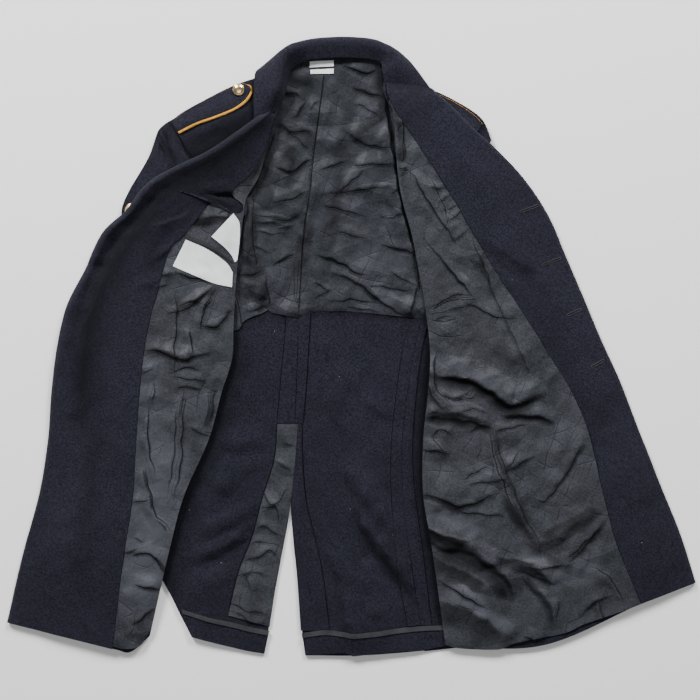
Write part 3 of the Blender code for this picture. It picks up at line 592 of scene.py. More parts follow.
# Painted shade: the cloth is painted dark under the edges of the linings and of the yoke, where
# little light gets in, and along the skirt's folds.
PANEL_PAINTED_SHADE = (
    PaintedShading(20, 18, 0.85, ((102, 60), (104, 0), (100, -60), (94, -123), (94, -196), (106, -269),
                          (124, -345), (136, -420))),
    PaintedShading(20, 32, 0.80, ((-276, -420), (-268, -384), (-244, -277), (-222, -198), (-190, -122),
                          (-172, -60), (-160, -15), (-158, 60))),
    PaintedShading(8, 9, 0.55, ((-82, 40), (-62, 44), (-46, 47), (1, 47), (37, 43), (80, 39), (124, 37))),
    PaintedShading(8, 15, 0.45, ((-176, 12), (-160, 22), (-144, 32), (-132, 40), (-110, 48), (-100, 44),
                         (-66, 38))),
    PaintedShading(4, 15, 0.42, ((2, -205), (15, -240), (35, -270), (55, -296), (76, -326), (100, -346))),
    PaintedShading(13, 4, 0.38, ((-232, -288), (-196, -277), (-165, -262), (-140, -246), (-118, -226))),
    PaintedShading(5, 10, 0.30, ((-52, -240), (-36, -268), (-20, -300), (-11, -345), (-8, -390))),
    PaintedShading(4, 12, 0.25, ((-14, -150), (8, -184), (36, -218), (52, -250))),
    PaintedShading(12, 4, 0.28, ((-210, -252), (-172, -238), (-142, -222), (-118, -200))),
)

for side, rows, folds in (("left", LEFT_BACK, LEFT_BACK_FOLDS),
                          ("right", RIGHT_BACK, RIGHT_BACK_FOLDS)):
    flat = laid(rows, BACK_CUT, ("back_" + side,))
    flat[:, :, 2] += folded(flat, folds) + uneven(flat, BACK_WAVES)
    flat[:, :, 2] = np.maximum(flat[:, :, 2], WOOL)
    marks = crease_and_shade_marks(flat, folds, PANEL_MARKS, PANEL_PAINTED_SHADE)
    cloth("back_" + side, flat, WOOL, body_wool, marks)

# Side panels run from the side-back seam to the fronts.
SIDE_CUT = Cut(step=18, cells=4, ease=2)

Side = namedtuple("Side", "seam outer")

LEFT_SIDE = (
    Side((140, 190), (205, 165)),
    Side((126, 143), (212, 120)),
    Side((94, 42), (195, 25)),
    Side((78, -30), (180, -45)),
    Side((70, -100), (172, -115)),
    Side((68, -163), (172, -178)),
    Side((71, -220), (178, -235)),
    Side((80, -291), (190, -300)),
    Side((93, -376), (205, -375)),
    Side((98, -405), (212, -393)),
)
RIGHT_SIDE = (
    Side((-197, 160), (-262, 128)),
    Side((-200, 42), (-288, 30)),
    Side((-206, -30), (-300, -45)),
    Side((-214, -100), (-308, -118)),
    Side((-226, -163), (-322, -185)),
    Side((-238, -219), (-335, -245)),
    Side((-265, -285), (-352, -310)),
    Side((-276, -345), (-362, -360)),
    Side((-288, -382), (-372, -380)),
)
SIDE_FOLDS = (
    Fold(2.4, 17, 23.8, 0.6, ((88, -120), (92, -180), (98, -250), (106, -330))),
    Fold(2.0, 20.4, 20.4, 0.8, ((120, -60), (118, -140), (122, -230))),
)

for side, rows in (("left", LEFT_SIDE), ("right", RIGHT_SIDE)):
    flat = laid(rows, SIDE_CUT, ("side_" + side,))
    flat[:, :, 2] += folded(flat, SIDE_FOLDS)
    marks = crease_and_shade_marks(flat, (), PANEL_MARKS, PANEL_PAINTED_SHADE)
    cloth("side_" + side, flat, WOOL, body_wool, marks)

# ------------------------------------------------------------------ the hems
# Each hem is the panel's own wool turned up inside by two fingers' width and caught down.
# Its raw edge is bound in a narrow grey tape.

FACING = 1.6
TAPE = 0.7
LAYER_GAP = 0.35
BINDING = 6.5
BINDING_LAP = 0.8       # how far the binding stands past the hem's raw edge
HEM_CUT = Cut(step=8, cells=2, ease=1)
BINDING_CUT = Cut(step=3, cells=2, ease=1)

Hem = namedtuple("Hem", "upper lower")

LEFT_HEM = (
    Hem((-65, -381), (-61, -410)),
    Hem((-35, -377), (-38, -409)),
    Hem((-10, -379), (-10, -406.5)),
    Hem((3, -381), (2, -410.5)),
    Hem((30, -379), (31, -408)),
    Hem((60, -375), (63, -405)),
    Hem((91, -372), (97, -403)),
    Hem((122, -371), (128, -397)),
)
RIGHT_HEM = (
    Hem((-109, -378), (-115.5, -408)),
    Hem((-135, -373), (-140, -404)),
    Hem((-160, -366.5), (-160, -399)),
    Hem((-185, -361), (-178, -394.5)),
    Hem((-206, -355), (-196, -390)),
    Hem((-226, -349), (-212, -385.5)),
)


def tape_group():
    """Woven tape and labels: fine ribs across and a soft, uneven tone."""
    ins = (("Deep", "Color", (0.2, 0.2, 0.2, 1)), ("Light", "Color", (0.3, 0.3, 0.3, 1)))
    outs = (("Colour", "Color"), ("Roughness", "Float"), ("Height", "Float"))
    group, given, out = new_group("woven_tape", ins, outs)
    coords = place_in(group)
    ribs = add(group, "TexWave", {"bands_direction": "X"}, Vector=coords, Scale=900.0,
               Distortion=0.8, Detail=1.0)
    tone = noise(group, coords, scale=60.0, detail=5.0, roughness=0.65)
    soft = ranged(group, tone, 0.3, 0.7)
    share = plus(group, times(group, ribs.outputs["Fac"], 0.4), times(group, soft, 0.6))
    group.links.new(mixed(group, share, given["Deep"], given["Light"]), out.inputs["Colour"])
    group.links.new(ranged(group, soft, 0.0, 1.0, 0.9, 0.75), out.inputs["Roughness"])
    group.links.new(share, out.inputs["Height"])
    return group


woven = tape_group()
binding_tape = cloth_material("binding_tape", woven, 0.0002, Deep=(0.014, 0.014, 0.017, 1),
                              Light=(0.043, 0.044, 0.050, 1))

for side, rows in (("left", LEFT_HEM), ("right", RIGHT_HEM)):
    back = "back_" + side + "_cloth"
    turn = laid(rows, HEM_CUT, (back, "side_" + side + "_cloth"), LAYER_GAP + FACING)
    hem = shell("hem_turn_" + side, turn, FACING, body_wool)
    edges = []
    for row in rows:
        upper, lower = np.array(row.upper, float), np.array(row.lower, float)
        down = (lower - upper) / np.linalg.norm(lower - upper)
        edges.append(Hem(upper - down * BINDING_LAP, upper + down * (BINDING - BINDING_LAP)))
    strip = laid(edges, BINDING_CUT, (hem.name,), LAYER_GAP + TAPE)
    binding = shell("hem_binding_" + side, strip, TAPE, binding_tape)

# ------------------------------------------------------------------ the seams and the vent
# The seams' allowances are pressed open and lie flat on the back.  The vent's upper lap is
# faced with wool and its under lap is lined with satin, both sewn down along the edge.

LINING = 1.0
STRIP_CUT = Cut(step=7, cells=3, ease=1)

Strip = namedtuple("Strip", "inner outer")

CENTRE_ALLOWANCE_RIGHT = (
    Strip((-70.2, 46), (-86, 46)),
    Strip((-70.8, 10), (-88, 10)),
    Strip((-72.2, -30), (-92, -30)),
    Strip((-75.2, -101.2), (-98, -101.2)),
)
CENTRE_ALLOWANCE_LEFT = (
    Strip((-69.8, 48), (-54, 48)),
    Strip((-70.5, 0), (-57, 0)),
    Strip((-72.2, -50), (-60, -50)),
    Strip((-74.8, -101.2), (-64.5, -101.2)),
)
VENT_FACING = (
    Strip((-70, -101.6), (-66, -101.6)),
    Strip((-74, -150), (-65, -150)),
    Strip((-79.5, -207), (-60, -207)),
    Strip((-76.5, -260), (-47, -260)),
    Strip((-72, -304), (-38, -304)),
    Strip((-67, -377), (-29, -377)),
)
VENT_LINING = (
    Strip((-70.4, -101.6), (-98, -101.6)),
    Strip((-74.4, -150), (-102, -150)),
    Strip((-80.4, -207), (-118, -202)),
    Strip((-88, -250), (-131, -252)),
    Strip((-98, -304), (-149, -298)),
    Strip((-108.5, -372), (-163.5, -357)),
)
SIDE_ALLOWANCE_BACK = (
    Strip((93.8, 40), (81, 38)),
    Strip((82.8, -10), (69, -5)),
    Strip((69.8, -100), (57, -98)),
    Strip((67.8, -163), (53.5, -163)),
    Strip((71, -220), (56, -220)),
    Strip((80.3, -291), (62, -291)),
    Strip((93, -370), (76, -371)),
)
SIDE_ALLOWANCE_SIDE = (
    Strip((94.2, 40), (104, 38)),
    Strip((83.2, -10), (93, -10)),
    Strip((70.2, -100), (83, -100)),
    Strip((68.2, -163), (82, -163)),
    Strip((71.4, -220), (88, -220)),
    Strip((80.7, -291), (97, -286)),
    Strip((93.4, -370), (107, -370)),
)
VENT_FACING_FOLDS = (
    Fold(1.6, 8.5, 13.6, 0.4, ((-70, -150), (-68, -210), (-60, -270), (-50, -340))),
    Fold(1.2, 10.2, 10.2, 0.5, ((-52, -280), (-44, -330), (-38, -370))),
)
VENT_LINING_FOLDS = (
    Fold(1.4, 5, 2.2, 0.2, ((-91, -126), (-84, -128), (-72, -132))),
    Fold(1.6, 5, 2.2, 0.2, ((-105, -150), (-92, -155), (-78, -164))),
    Fold(2.6, 9.5, 2.5, 0.2, ((-117, -186), (-112, -200), (-104, -208), (-97, -204), (-86, -186))),
    Fold(2.4, 8, 2.5, 0.2, ((-120, -214), (-110, -211), (-100, -212), (-96, -222), (-98, -244))),
    Fold(2.2, 9.5, 3, 0.2, ((-128, -240), (-114, -238), (-100, -246), (-90, -250))),
    Fold(1.8, 9.5, 3, 0.2, ((-136, -262), (-118, -258), (-97, -262))),
    Fold(2.4, 11, 3, 0.2, ((-144, -284), (-124, -278), (-108, -270), (-96, -280))),
    Fold(2.0, 9.5, 3, 0.3, ((-150, -306), (-134, -298), (-112, -302))),
    Fold(1.8, 11.4, 3, 0.3, ((-140, -290), (-136, -310), (-130, -330))),
    Fold(2.2, 9.5, 3, 0.3, ((-158, -338), (-140, -350), (-126, -352), (-112, -356))),
    Fold(2.0, 7, 2.5, 0.3, ((-160, -352), (-146, -356), (-130, -366), (-112, -366))),
)
STRIPS = (
    ("centre_allowance_right", CENTRE_ALLOWANCE_RIGHT, FACING, "wool", ()),
    ("centre_allowance_left", CENTRE_ALLOWANCE_LEFT, FACING, "wool", ()),
    ("vent_facing_left", VENT_FACING, FACING, "wool", VENT_FACING_FOLDS),
    ("vent_lining_right", VENT_LINING, LINING, "lining", VENT_LINING_FOLDS),
    ("side_allowance_back", SIDE_ALLOWANCE_BACK, FACING, "wool", ()),
    ("side_allowance_side", SIDE_ALLOWANCE_SIDE, FACING, "wool", ()),
)
BACK_CLOTH = ("back_left_cloth", "back_right_cloth", "side_left_cloth", "side_right_cloth")


def satin_group():
    """Satin lining: a very fine weave with a soft bloom, crumpled, with thin pressed-in lines that
    are painted dark as painted shade and thin ridges painted light as painted highlight. Along
    creases and in shaded places it is painted dark as painted shade, and where the painted shading's
    depth is below nothing it is painted light as painted highlight.
    """
    ins = (("Deep", "Color", (0.0155, 0.0166, 0.0200, 1)),
           ("Light", "Color", (0.0390, 0.0417, 0.0495, 1)),
           ("Crumple", "Float", 1.0), ("Facets", "Float", 1.5), ("Shine", "Float", 0.48))
    outs = (("Colour", "Color"), ("Roughness", "Float"), ("Height", "Float"))
    group, given, out = new_group("satin_weave", ins, outs)
    link = group.links.new
    coords = place_in(group)
    bend = add(group, "TexNoise", Vector=coords, Scale=9.0, Detail=2.0, Roughness=0.5)
    moved = add(group, "VectorMath", {"operation": "MULTIPLY_ADD"},
                (bend.outputs[1], (0.06, 0.06, 0.0), coords)).outputs[0]
    waves = noise(group, moved, scale=26.0, detail=2.0)
    drawn = add(group, "Mapping", Vector=moved, Rotation=(0, 0, 0.25),
                Scale=(0.75, 1.35, 1)).outputs[0]
    small = noise(group, drawn, scale=70.0, detail=3.0, roughness=0.6)
    facets, line, ridge_highlight = 0.0, 0.0, 0.0
    # The facets' valleys give thin lines painted dark, as painted shade, and their crests give thin
    # ridges painted light, as painted highlight.
    for turn, bands, share in ((1.25, 6.5, 1.0), (2.0, 10.0, 0.7), (0.35, 15.0, 0.4)):
        spun = add(group, "Mapping", Vector=coords, Rotation=(0, 0, turn)).outputs[0]
        wave = add(group, "TexWave", {"wave_profile": "TRI"}, Vector=spun, Scale=bands,
                   Distortion=4.0, Detail=1.0, Detail_Scale=1.3, Detail_Roughness=0.4)
        wave = wave.outputs["Fac"]
        facets = plus(group, facets, times(group, wave, share))
        line = larger(group, line, ranged(group, wave, 0.0, bands * 0.006, 1.0, 0.0))
        ridge_highlight = larger(group, ridge_highlight, ranged(group, wave, 1.0 - bands * 0.005, 1.0))
    patches = noise(group, coords, scale=13.0, detail=1.0)
    patches = ranged(group, patches, 0.40, 0.60, 0.35, 1.0)
    facets = times(group, facets, patches)
    ridges = maths(group, "ABSOLUTE", less(group, waves, 0.5))
    ripples = maths(group, "ABSOLUTE", less(group, small, 0.5))
    bloom = noise(group, coords, scale=430.0, detail=2.0, roughness=0.7)
    line = times(group, line, ranged(group, waves, 0.53, 0.60))
    ridge_highlight = times(group, ridge_highlight, ranged(group, waves, 0.47, 0.40))
    weave = noise(group, place_in(group, (1.0, 2.4, 1.0)), scale=900.0, detail=1.0)
    tone = plus(group, times(group, waves, 0.45), times(group, bloom, 0.55))
    tone = ranged(group, tone, 0.38, 0.62)
    fine = ranged(group, weave, 0.3, 0.7, 0.85, 1.15)
    base = mixed(group, tone, given["Deep"], given["Light"])
    tint = ranged(group, bend.outputs[0], 0.40, 0.62, 0.485, 0.515)
    toned = add(group, "HueSaturation", Color=base, Hue=tint, Value=fine).outputs[0]
    # Painted shade along the thin lines and painted highlight on the thin ridges.
    lined = mixed(group, times(group, line, 0.55), toned, (0.003, 0.003, 0.005, 1))
    lined = mixed(group, times(group, ridge_highlight, 0.12), lined, (0.09, 0.095, 0.11, 1))
    # Painted highlight where the painted shading is below nothing, then painted shade along creases
    # and in shaded places.
    crease_and_painted_shade, painted_shading = crease_and_shade_masks(group, 0.95, 0.9)
    lined = mixed(group, times(group, painted_shading, -1.0), lined, (0.085, 0.090, 0.106, 1))
    painted_shade = larger(group, times(group, crease_and_painted_shade, 0.85), times(group, painted_shading, 1.22))
    link(mixed(group, painted_shade, lined, (0.0006, 0.0006, 0.001, 1)), out.inputs["Colour"])
    rough = ranged(group, small, 0.3, 0.7, -0.05, 0.06)
    rough = plus(group, times(group, painted_shade, 0.3), rough)
    link(plus(group, given["Shine"], rough), out.inputs["Roughness"])
    height = plus(group, times(group, ridges, 0.8), times(group, ripples, 0.6))
    height = plus(group, height, times(group, facets, given["Facets"]))
    height = less(group, height, times(group, line, 0.25))
    height = times(group, height, given["Crumple"])
    height = less(group, height, times(group, crease_and_painted_shade, 0.45))
    height = plus(group, height, times(group, weave, 0.04))
    link(height, out.inputs["Height"])
    return group


satin = satin_group()
lining_satin = cloth_material("lining_satin", satin, 0.0012, specular=0.12)
FINISHES = {"wool": body_wool, "lining": lining_satin, "tape": binding_tape}

for name, rows, wall, finish, folds in STRIPS:
    strip = laid(rows, STRIP_CUT, BACK_CLOTH, LAYER_GAP + wall)
    strip[:, :, 2] += folded(strip, folds)
    marks = crease_and_shade_marks(strip, folds, (), PANEL_PAINTED_SHADE)
    cloth(name, strip, wall, FINISHES[finish], marks)

# ------------------------------------------------------------------ the back's lining
# The back's upper half is lined with charcoal satin, in two panels that meet in a pleat down
# the centre.  It is sewn in at the neck and shoulders and hangs free at the waist.

SATIN_FADE = 0.55       # satin's painted shade stays dark almost to its edges
YOKE_CUT = Cut(step=7.6, cells=4, ease=3)
YOKE_WAVES = ((0.9, 58), (0.3, 21))
YOKE_DIP = 1.2          # the furthest that its folds go down
EDGE_STEPS = 8          # steps in each span of a lower edge
YOKE_PULL = 35          # how far above its lower edge it is drawn to the edge's line
NECK_LABEL_CUT = Cut(step=3, cells=3, ease=3)

YOKE_LEFT = (
    Strip((-27, 392), (46, 386)),
    Strip((-38, 335), (58, 328)),
    Strip((-45, 289), (70, 280)),
    Strip((-55, 223), (84, 215)),
    Strip((-63, 143), (98, 150)),
    Strip((-67, 80), (112, 90)),
    Strip((-70, 38), (120, 36)),
)
YOKE_RIGHT = (
    Strip((-27, 392), (-85, 381)),
    Strip((-38, 335), (-97, 322)),
    Strip((-45, 289), (-112, 280)),
    Strip((-55, 223), (-142, 222)),
    Strip((-63, 143), (-165, 143)),
    Strip((-67, 80), (-170, 80)),
    Strip((-70, 38), (-172, 32)),
)
YOKE_EDGE_LEFT = ((-70, 41), (-58, 42), (-46, 47.5), (1, 48), (37, 44.6), (80, 40), (120, 38))
YOKE_EDGE_RIGHT = ((-172, 20), (-150, 24), (-144, 34), (-132, 41), (-120, 45), (-110, 50),
                   (-104, 46), (-73, 40))
YOKE_FOLDS_LEFT = (
    Fold(5.0, 22, 4.5, 0.3, ((-36, 372), (-42, 320), (-49, 260), (-54, 200), (-61, 143), (-68, 60))),
    Fold(5.5, 3.5, 15, 0.3, ((40, 352), (44, 330), (47, 306), (51, 280), (54, 258), (57, 236),
                             (60, 212), (66, 186), (74, 156), (82, 124), (87, 92))),
    Fold(3.0, 12, 12, 0.6, ((-14, 360), (-10, 320), (-22, 270), (-26, 210), (-34, 150), (-46, 90))),
    Fold(2.2, 15.3, 15.3, 0.5, ((-33, 350), (-36, 300), (-30, 240), (-26, 190), (-34, 130))),
    Fold(-1.6, 11.9, 11.9, 0.5, ((-12, 350), (-14, 300), (-10, 240))),
    Fold(2.6, 15.2, 3, 0.2, ((0, 349), (20, 341), (44, 333))),
    Fold(1.8, 11.4, 3, 0.2, ((2, 326), (20, 321), (33, 311), (42, 303))),
    Fold(3.0, 17, 11.9, 0.5, ((6, 272), (25, 296), (46, 312))),
    Fold(1.8, 11.4, 2.5, 0.2, ((-17, 293), (0, 285), (8, 278), (22, 271), (40, 267), (60, 268))),
    Fold(2.4, 13.3, 3, 0.3, ((-45, 235), (-30, 241), (-15, 248), (-3, 249))),
    Fold(2.0, 15.2, 3, 0.3, ((-2, 243), (30, 245), (64, 243))),
    Fold(2.2, 13.3, 4, 0.3, ((-22, 205), (0, 223), (18, 239))),
    Fold(2.2, 15.2, 3, 0.3, ((-46, 203), (-10, 208), (30, 213), (58, 215))),
    Fold(1.8, 9.5, 2.5, 0.2, ((52, 202), (63, 211), (72, 216))),
    Fold(2.0, 13.3, 3, 0.3, ((-47, 190), (-20, 186), (24, 175))),
    Fold(1.8, 11.4, 3, 0.3, ((38, 173), (55, 175), (74, 178))),
    Fold(1.8, 11.4, 3, 0.2, ((-22, 159), (0, 151), (22, 144))),
    Fold(2.4, 13.3, 3, 0.2, ((38, 139), (55, 134), (75, 129), (90, 125))),
    Fold(1.8, 4, 9.5, 0.3, ((44, 162), (50, 145), (59, 128))),
    Fold(3.0, 17.1, 3.5, 0.3, ((-52, 125), (-30, 120), (-10, 112), (5, 102), (27, 95))),
    Fold(3.4, 15.2, 3, 0.2, ((-32, 103), (-5, 93), (15, 83), (25, 73), (42, 62), (62, 49), (78, 42))),
    Fold(2.0, 11.4, 2.5, 0.2, ((18, 82), (50, 81), (70, 77), (85, 82))),
    Fold(2.2, 11.4, 3, 0.2, ((53, 104), (70, 92), (88, 83))),
    Fold(3.6, 3, 13.3, 0.3, ((90, 88), (82, 62), (79, 38))),
    Fold(3.2, 3, 11.4, 0.3, ((92, 84), (99, 60), (104, 38))),
    Fold(1.4, 11.4, 3, 0.2, ((-8, 56), (20, 51), (40, 50))),
    Fold(1.8, 15.2, 4, 0.3, ((-33, 64), (10, 65), (44, 58))),
    Fold(2.0, 11.4, 3, 0.3, ((-52, 90), (-40, 84), (-28, 76))),
    Fold(1.6, 9.5, 3, 0.3, ((-50, 66), (-35, 74), (-22, 78))),
    Fold(3.0, 13.3, 4, 0.4, ((-14, 379), (6, 372), (20, 368), (38, 372))),
    Fold(2.0, 20.4, 23.8, 0.8, ((10, 345), (30, 300), (36, 250), (30, 190))),
    Fold(2.0, 23.8, 23.8, 0.8, ((60, 300), (66, 250), (70, 190), (78, 150))),
)
YOKE_FOLDS_RIGHT = (
    Fold(5.0, 7, 9, 0.3, ((-121, 240), (-128, 222), (-137, 206), (-146, 196))),
    Fold(3.4, 8.5, 11.9, 0.3, ((-92, 338), (-82, 353), (-66, 361), (-52, 365))),
    Fold(2.4, 13.3, 3, 0.2, ((-102, 338), (-75, 339), (-62, 330))),
    Fold(2.0, 4, 9.5, 0.3, ((-62, 330), (-70, 316), (-80, 306))),
    Fold(1.8, 9.5, 3, 0.3, ((-60, 314), (-50, 325), (-41, 327))),
    Fold(2.2, 9.5, 3, 0.3, ((-98, 301), (-84, 290), (-60, 289), (-47, 285))),
    Fold(2.0, 13.3, 3, 0.3, ((-87, 295), (-70, 277), (-50, 262))),
    Fold(3.2, 17.1, 3.5, 0.3, ((-103, 244), (-82, 236), (-68, 244), (-54, 253))),
    Fold(2.6, 17, 10.2, 0.5, ((-104, 217), (-85, 229), (-74, 238))),
    Fold(2.4, 15.2, 3.5, 0.3, ((-107, 194), (-80, 199), (-57, 211))),
    Fold(1.8, 11.4, 3, 0.3, ((-107, 170), (-84, 172), (-66, 178))),
    Fold(1.6, 11.4, 3, 0.3, ((-102, 159), (-74, 162))),
    Fold(3.2, 15.2, 3.5, 0.3, ((-104, 110), (-88, 122), (-74, 126))),
    Fold(-1.8, 4, 9.5, 0.4, ((-76, 120), (-78, 90), (-76, 55))),
    Fold(6.0, 8.5, 10.2, 0.4, ((-136, 202), (-135, 160), (-133, 125), (-127, 96))),
    Fold(1.8, 7.6, 2.2, 0.2, ((-130, 175), (-108, 175), (-86, 172))),
    Fold(1.6, 7.6, 2.2, 0.2, ((-130, 168), (-110, 167), (-92, 165))),
    Fold(1.8, 7.6, 2.2, 0.2, ((-130, 155), (-110, 153), (-88, 152))),
    Fold(1.8, 9.5, 2.5, 0.2, ((-132, 139), (-115, 129), (-105, 127))),
    Fold(2.2, 11.4, 3, 0.3, ((-152, 96), (-130, 99), (-116, 104))),
    Fold(3.0, 15.3, 8.5, 0.4, ((-152, 91), (-135, 86), (-124, 74), (-118, 64))),
    Fold(3.0, 3, 9.5, 0.2, ((-156, 72), (-151, 55), (-149, 35), (-141, 20))),
    Fold(3.0, 4, 11.4, 0.3, ((-116, 98), (-113, 72), (-110, 50))),
    Fold(2.2, 11.4, 3, 0.3, ((-137, 49), (-120, 56), (-109, 54))),
    Fold(2.0, 17, 17, 0.7, ((-92, 330), (-86, 290), (-92, 240))),
)


def hemmed(grid, edge, reach):
    """The grid with its last row drawn onto an edge, and the rows above it eased to follow."""
    edge = smooth(edge, EDGE_STEPS)
    order = np.argsort(edge[:, 0])
    goal = np.interp(grid[-1, :, 0], edge[order, 0], edge[order, 1])
    shift = goal - grid[-1, :, 1]
    above = np.linalg.norm(grid[:, :, :2] - grid[-1, :, :2], axis=2)
    grid = grid.copy()
    grid[:, :, 1] += shift * np.clip(1 - above / reach, 0, 1) ** 2
    return grid


# The pleat's edge, and the deep gaps where the fronts' linings stand beside the yoke; both are dented
# and painted dark, as painted shade.
YOKE_MARKS = (
    Mark(1.2, 1.0, ((-34, 374), (-37, 353), (-40.6, 324), (-47, 275), (-52, 236), (-56, 197),
                    (-60.5, 171), (-64, 135), (-67, 90), (-70.5, 40))),
    Mark(3.2, 1.0, ((41, 384), (43, 362), (46, 340), (49.5, 322), (53, 300), (56.5, 280),
                    (58, 262), (60, 240), (61.5, 225))),
    Mark(2.0, 1.0, ((61, 228), (63, 213), (66.5, 200), (70, 185), (75, 170), (79, 153), (83, 140),
                    (87.5, 122), (89.5, 105), (91, 88), (92, 74))),
    Mark(2.8, 1.0, ((-102, 286), (-110, 262), (-116, 246), (-120.5, 232), (-126, 217), (-133, 206),
                    (-139, 198))),
    Mark(1.8, 1.0, ((-142, 198), (-143.5, 180), (-144, 160), (-146, 140), (-149, 118))),
    Mark(1.6, 0.9, ((-129, 200), (-130, 180), (-130, 160), (-129, 135), (-124, 108))),
)
# Painted shade where the fronts and the folds shade the yoke, and painted highlights where the depth
# is below nothing, on facets that catch the light.
YOKE_PAINTED_SHADING = (
    PaintedShading(12, 12, 0.5, ((-126, 196), (-133, 156), (-135, 110), (-130, 78))),
    PaintedShading(12, 10, 0.4, ((-58, 184), (-64, 130), (-74, 86))),
    PaintedShading(16, 16, -0.2, ((2, 128), (44, 118), (84, 108))),
    PaintedShading(14, 14, -0.2, ((-4, 72), (44, 66), (86, 60))),
    PaintedShading(12, 12, -0.18, ((14, 322), (30, 300), (48, 284))),
    PaintedShading(16, 16, -0.12, ((10, 232), (34, 222), (54, 206))),
    PaintedShading(16, 16, 0.55, ((-96, 372), (-84, 362), (-60, 352), (-44, 352))),
    PaintedShading(14, 14, 0.42, ((-104, 338), (-97, 314), (-92, 288))),
    PaintedShading(10, 24, 0.5, ((-114, 268), (-112, 246), (-118, 222), (-130, 204))),
    PaintedShading(10, 10, 0.5, ((36, 372), (40, 350), (44, 330))),
    PaintedShading(12, 12, 0.34, ((2, 350), (-5, 312), (-12, 252), (-20, 200), (-31, 143), (-40, 84))),
    PaintedShading(3, 9, 0.5, ((0, 349), (20, 341), (48, 331))),
    PaintedShading(3, 13, 0.42, ((50, 311), (26, 295), (2, 271))),
    PaintedShading(5, 18, 0.42, ((-98, 342), (-78, 338), (-62, 330), (-50, 316))),
    PaintedShading(5, 22, 0.48, ((-100, 304), (-82, 292), (-62, 290), (-47, 285))),
    PaintedShading(14, 5, 0.5, ((-84, 228), (-78, 250), (-74, 272))),
    PaintedShading(24, 6, 0.45, ((-104, 178), (-106, 200), (-114, 222), (-126, 238))),
    PaintedShading(4, 14, 0.45, ((-110, 194), (-84, 203), (-62, 212))),
    PaintedShading(4, 10, 0.4, ((-108, 172), (-86, 172), (-66, 178))),
    PaintedShading(5, 16, 0.5, ((-158, 98), (-132, 100), (-112, 106))),
    PaintedShading(8, 5, 0.5, ((-124, 40), (-116, 66), (-116, 96))),
    PaintedShading(3, 10, 0.35, ((-32, 103), (-5, 93), (15, 83), (28, 72), (44, 60))),
    PaintedShading(3, 10, 0.3, ((-46, 203), (-10, 208), (30, 213), (60, 215))),
)
# The yoke is cut from the same satin as the linings, painted darker as painted shade, since the
# fronts shade it.
yoke_satin_painted_shade = cloth_material("yoke_satin_painted_shade", satin, 0.0012, specular=0.12, Shine=0.50, Facets=2.0,
                            Deep=(0.0110, 0.0120, 0.0152, 1), Light=(0.0290, 0.0313, 0.0385, 1))
for side, rows, edge, folds in (("left", YOKE_LEFT, YOKE_EDGE_LEFT, YOKE_FOLDS_LEFT),
                                ("right", YOKE_RIGHT, YOKE_EDGE_RIGHT, YOKE_FOLDS_RIGHT)):
    flat = hemmed(laid(rows, YOKE_CUT, ("yoke_lining_" + side,)), edge, YOKE_PULL)
    flat[:, :, 2] += np.maximum(folded(flat, folds), -YOKE_DIP)
    flat[:, :, 2] += uneven(flat, YOKE_WAVES)
    shell("yoke_lining_" + side, flat, LINING, yoke_satin_painted_shade,
                        crease_and_shade_marks(flat, folds, YOKE_MARKS, YOKE_PAINTED_SHADING, SATIN_FADE))

# Two white woven tapes are sewn on it at the neck.
SIZE_LABEL = (Strip((-55, 381), (-55, 373)), Strip((-23, 382.5), (-23, 374.6)))
LOT_LABEL = (Strip((-54, 370), (-54, 364.5)), Strip((-23, 371.5), (-23, 364.8)))

label_white = cloth_material("label_white", woven, 0.00015, Deep=(0.58, 0.60, 0.60, 1),
                             Light=(0.80, 0.82, 0.82, 1))
NECK_CLOTH = ("yoke_lining_left_cloth", "yoke_lining_right_cloth") + BACK_CLOTH[:2]
for name, rows in (("size_label", SIZE_LABEL), ("lot_label", LOT_LABEL)):
    flat = laid(rows, NECK_LABEL_CUT, NECK_CLOTH, LAYER_GAP + TAPE)
    shell(name, flat, TAPE, label_white)

# ------------------------------------------------------------------ the sleeves
# Two-piece sleeves of the same wool lie flat under the fronts, set into the armholes over a
# little wadding, which keeps their heads full.

SLEEVE_CUT = Cut(step=16, cells=4, ease=1)

Sleeve = namedtuple("Sleeve", "outer inner")

RIGHT_SLEEVE = (
    Sleeve((-236, 304), (-200, 226)),
    Sleeve((-256, 290), (-215, 200)),
    Sleeve((-268, 256), (-224, 168)),
    Sleeve((-303, 192), (-212, 125)),
    Sleeve((-305, 145), (-182, 100)),
    Sleeve((-318, 80), (-180, 45)),
    Sleeve((-352, -20), (-206, -45)),
    Sleeve((-366, -120), (-220, -140)),
    Sleeve((-380, -215), (-240, -238)),
    Sleeve((-396, -280), (-262, -300)),
)
LEFT_SLEEVE = (
    Sleeve((186, 266), (152, 202)),
    Sleeve((212, 226), (150, 165)),
    Sleeve((242, 172), (124, 120)),
    Sleeve((292, 50), (160, -7)),
    Sleeve((342, -80), (212, -136)),
    Sleeve((382, -185), (256, -240)),
    Sleeve((414, -284), (296, -335)),
)
SLEEVE_FOLDS = (
    Fold(-4.5, 5, 5, 0.2, ((-228, 284), (-219, 264), (-210, 246))),
    Fold(-6.0, 5, 6, 0.2, ((-248, 291), (-240, 263), (-231, 238))),
    Fold(-4.0, 4, 4, 0.2, ((-256, 272), (-246, 252), (-248, 238))),
    Fold(3.0, 11, 11, 0.6, ((-262, 285), (-262, 258), (-268, 236))),
)

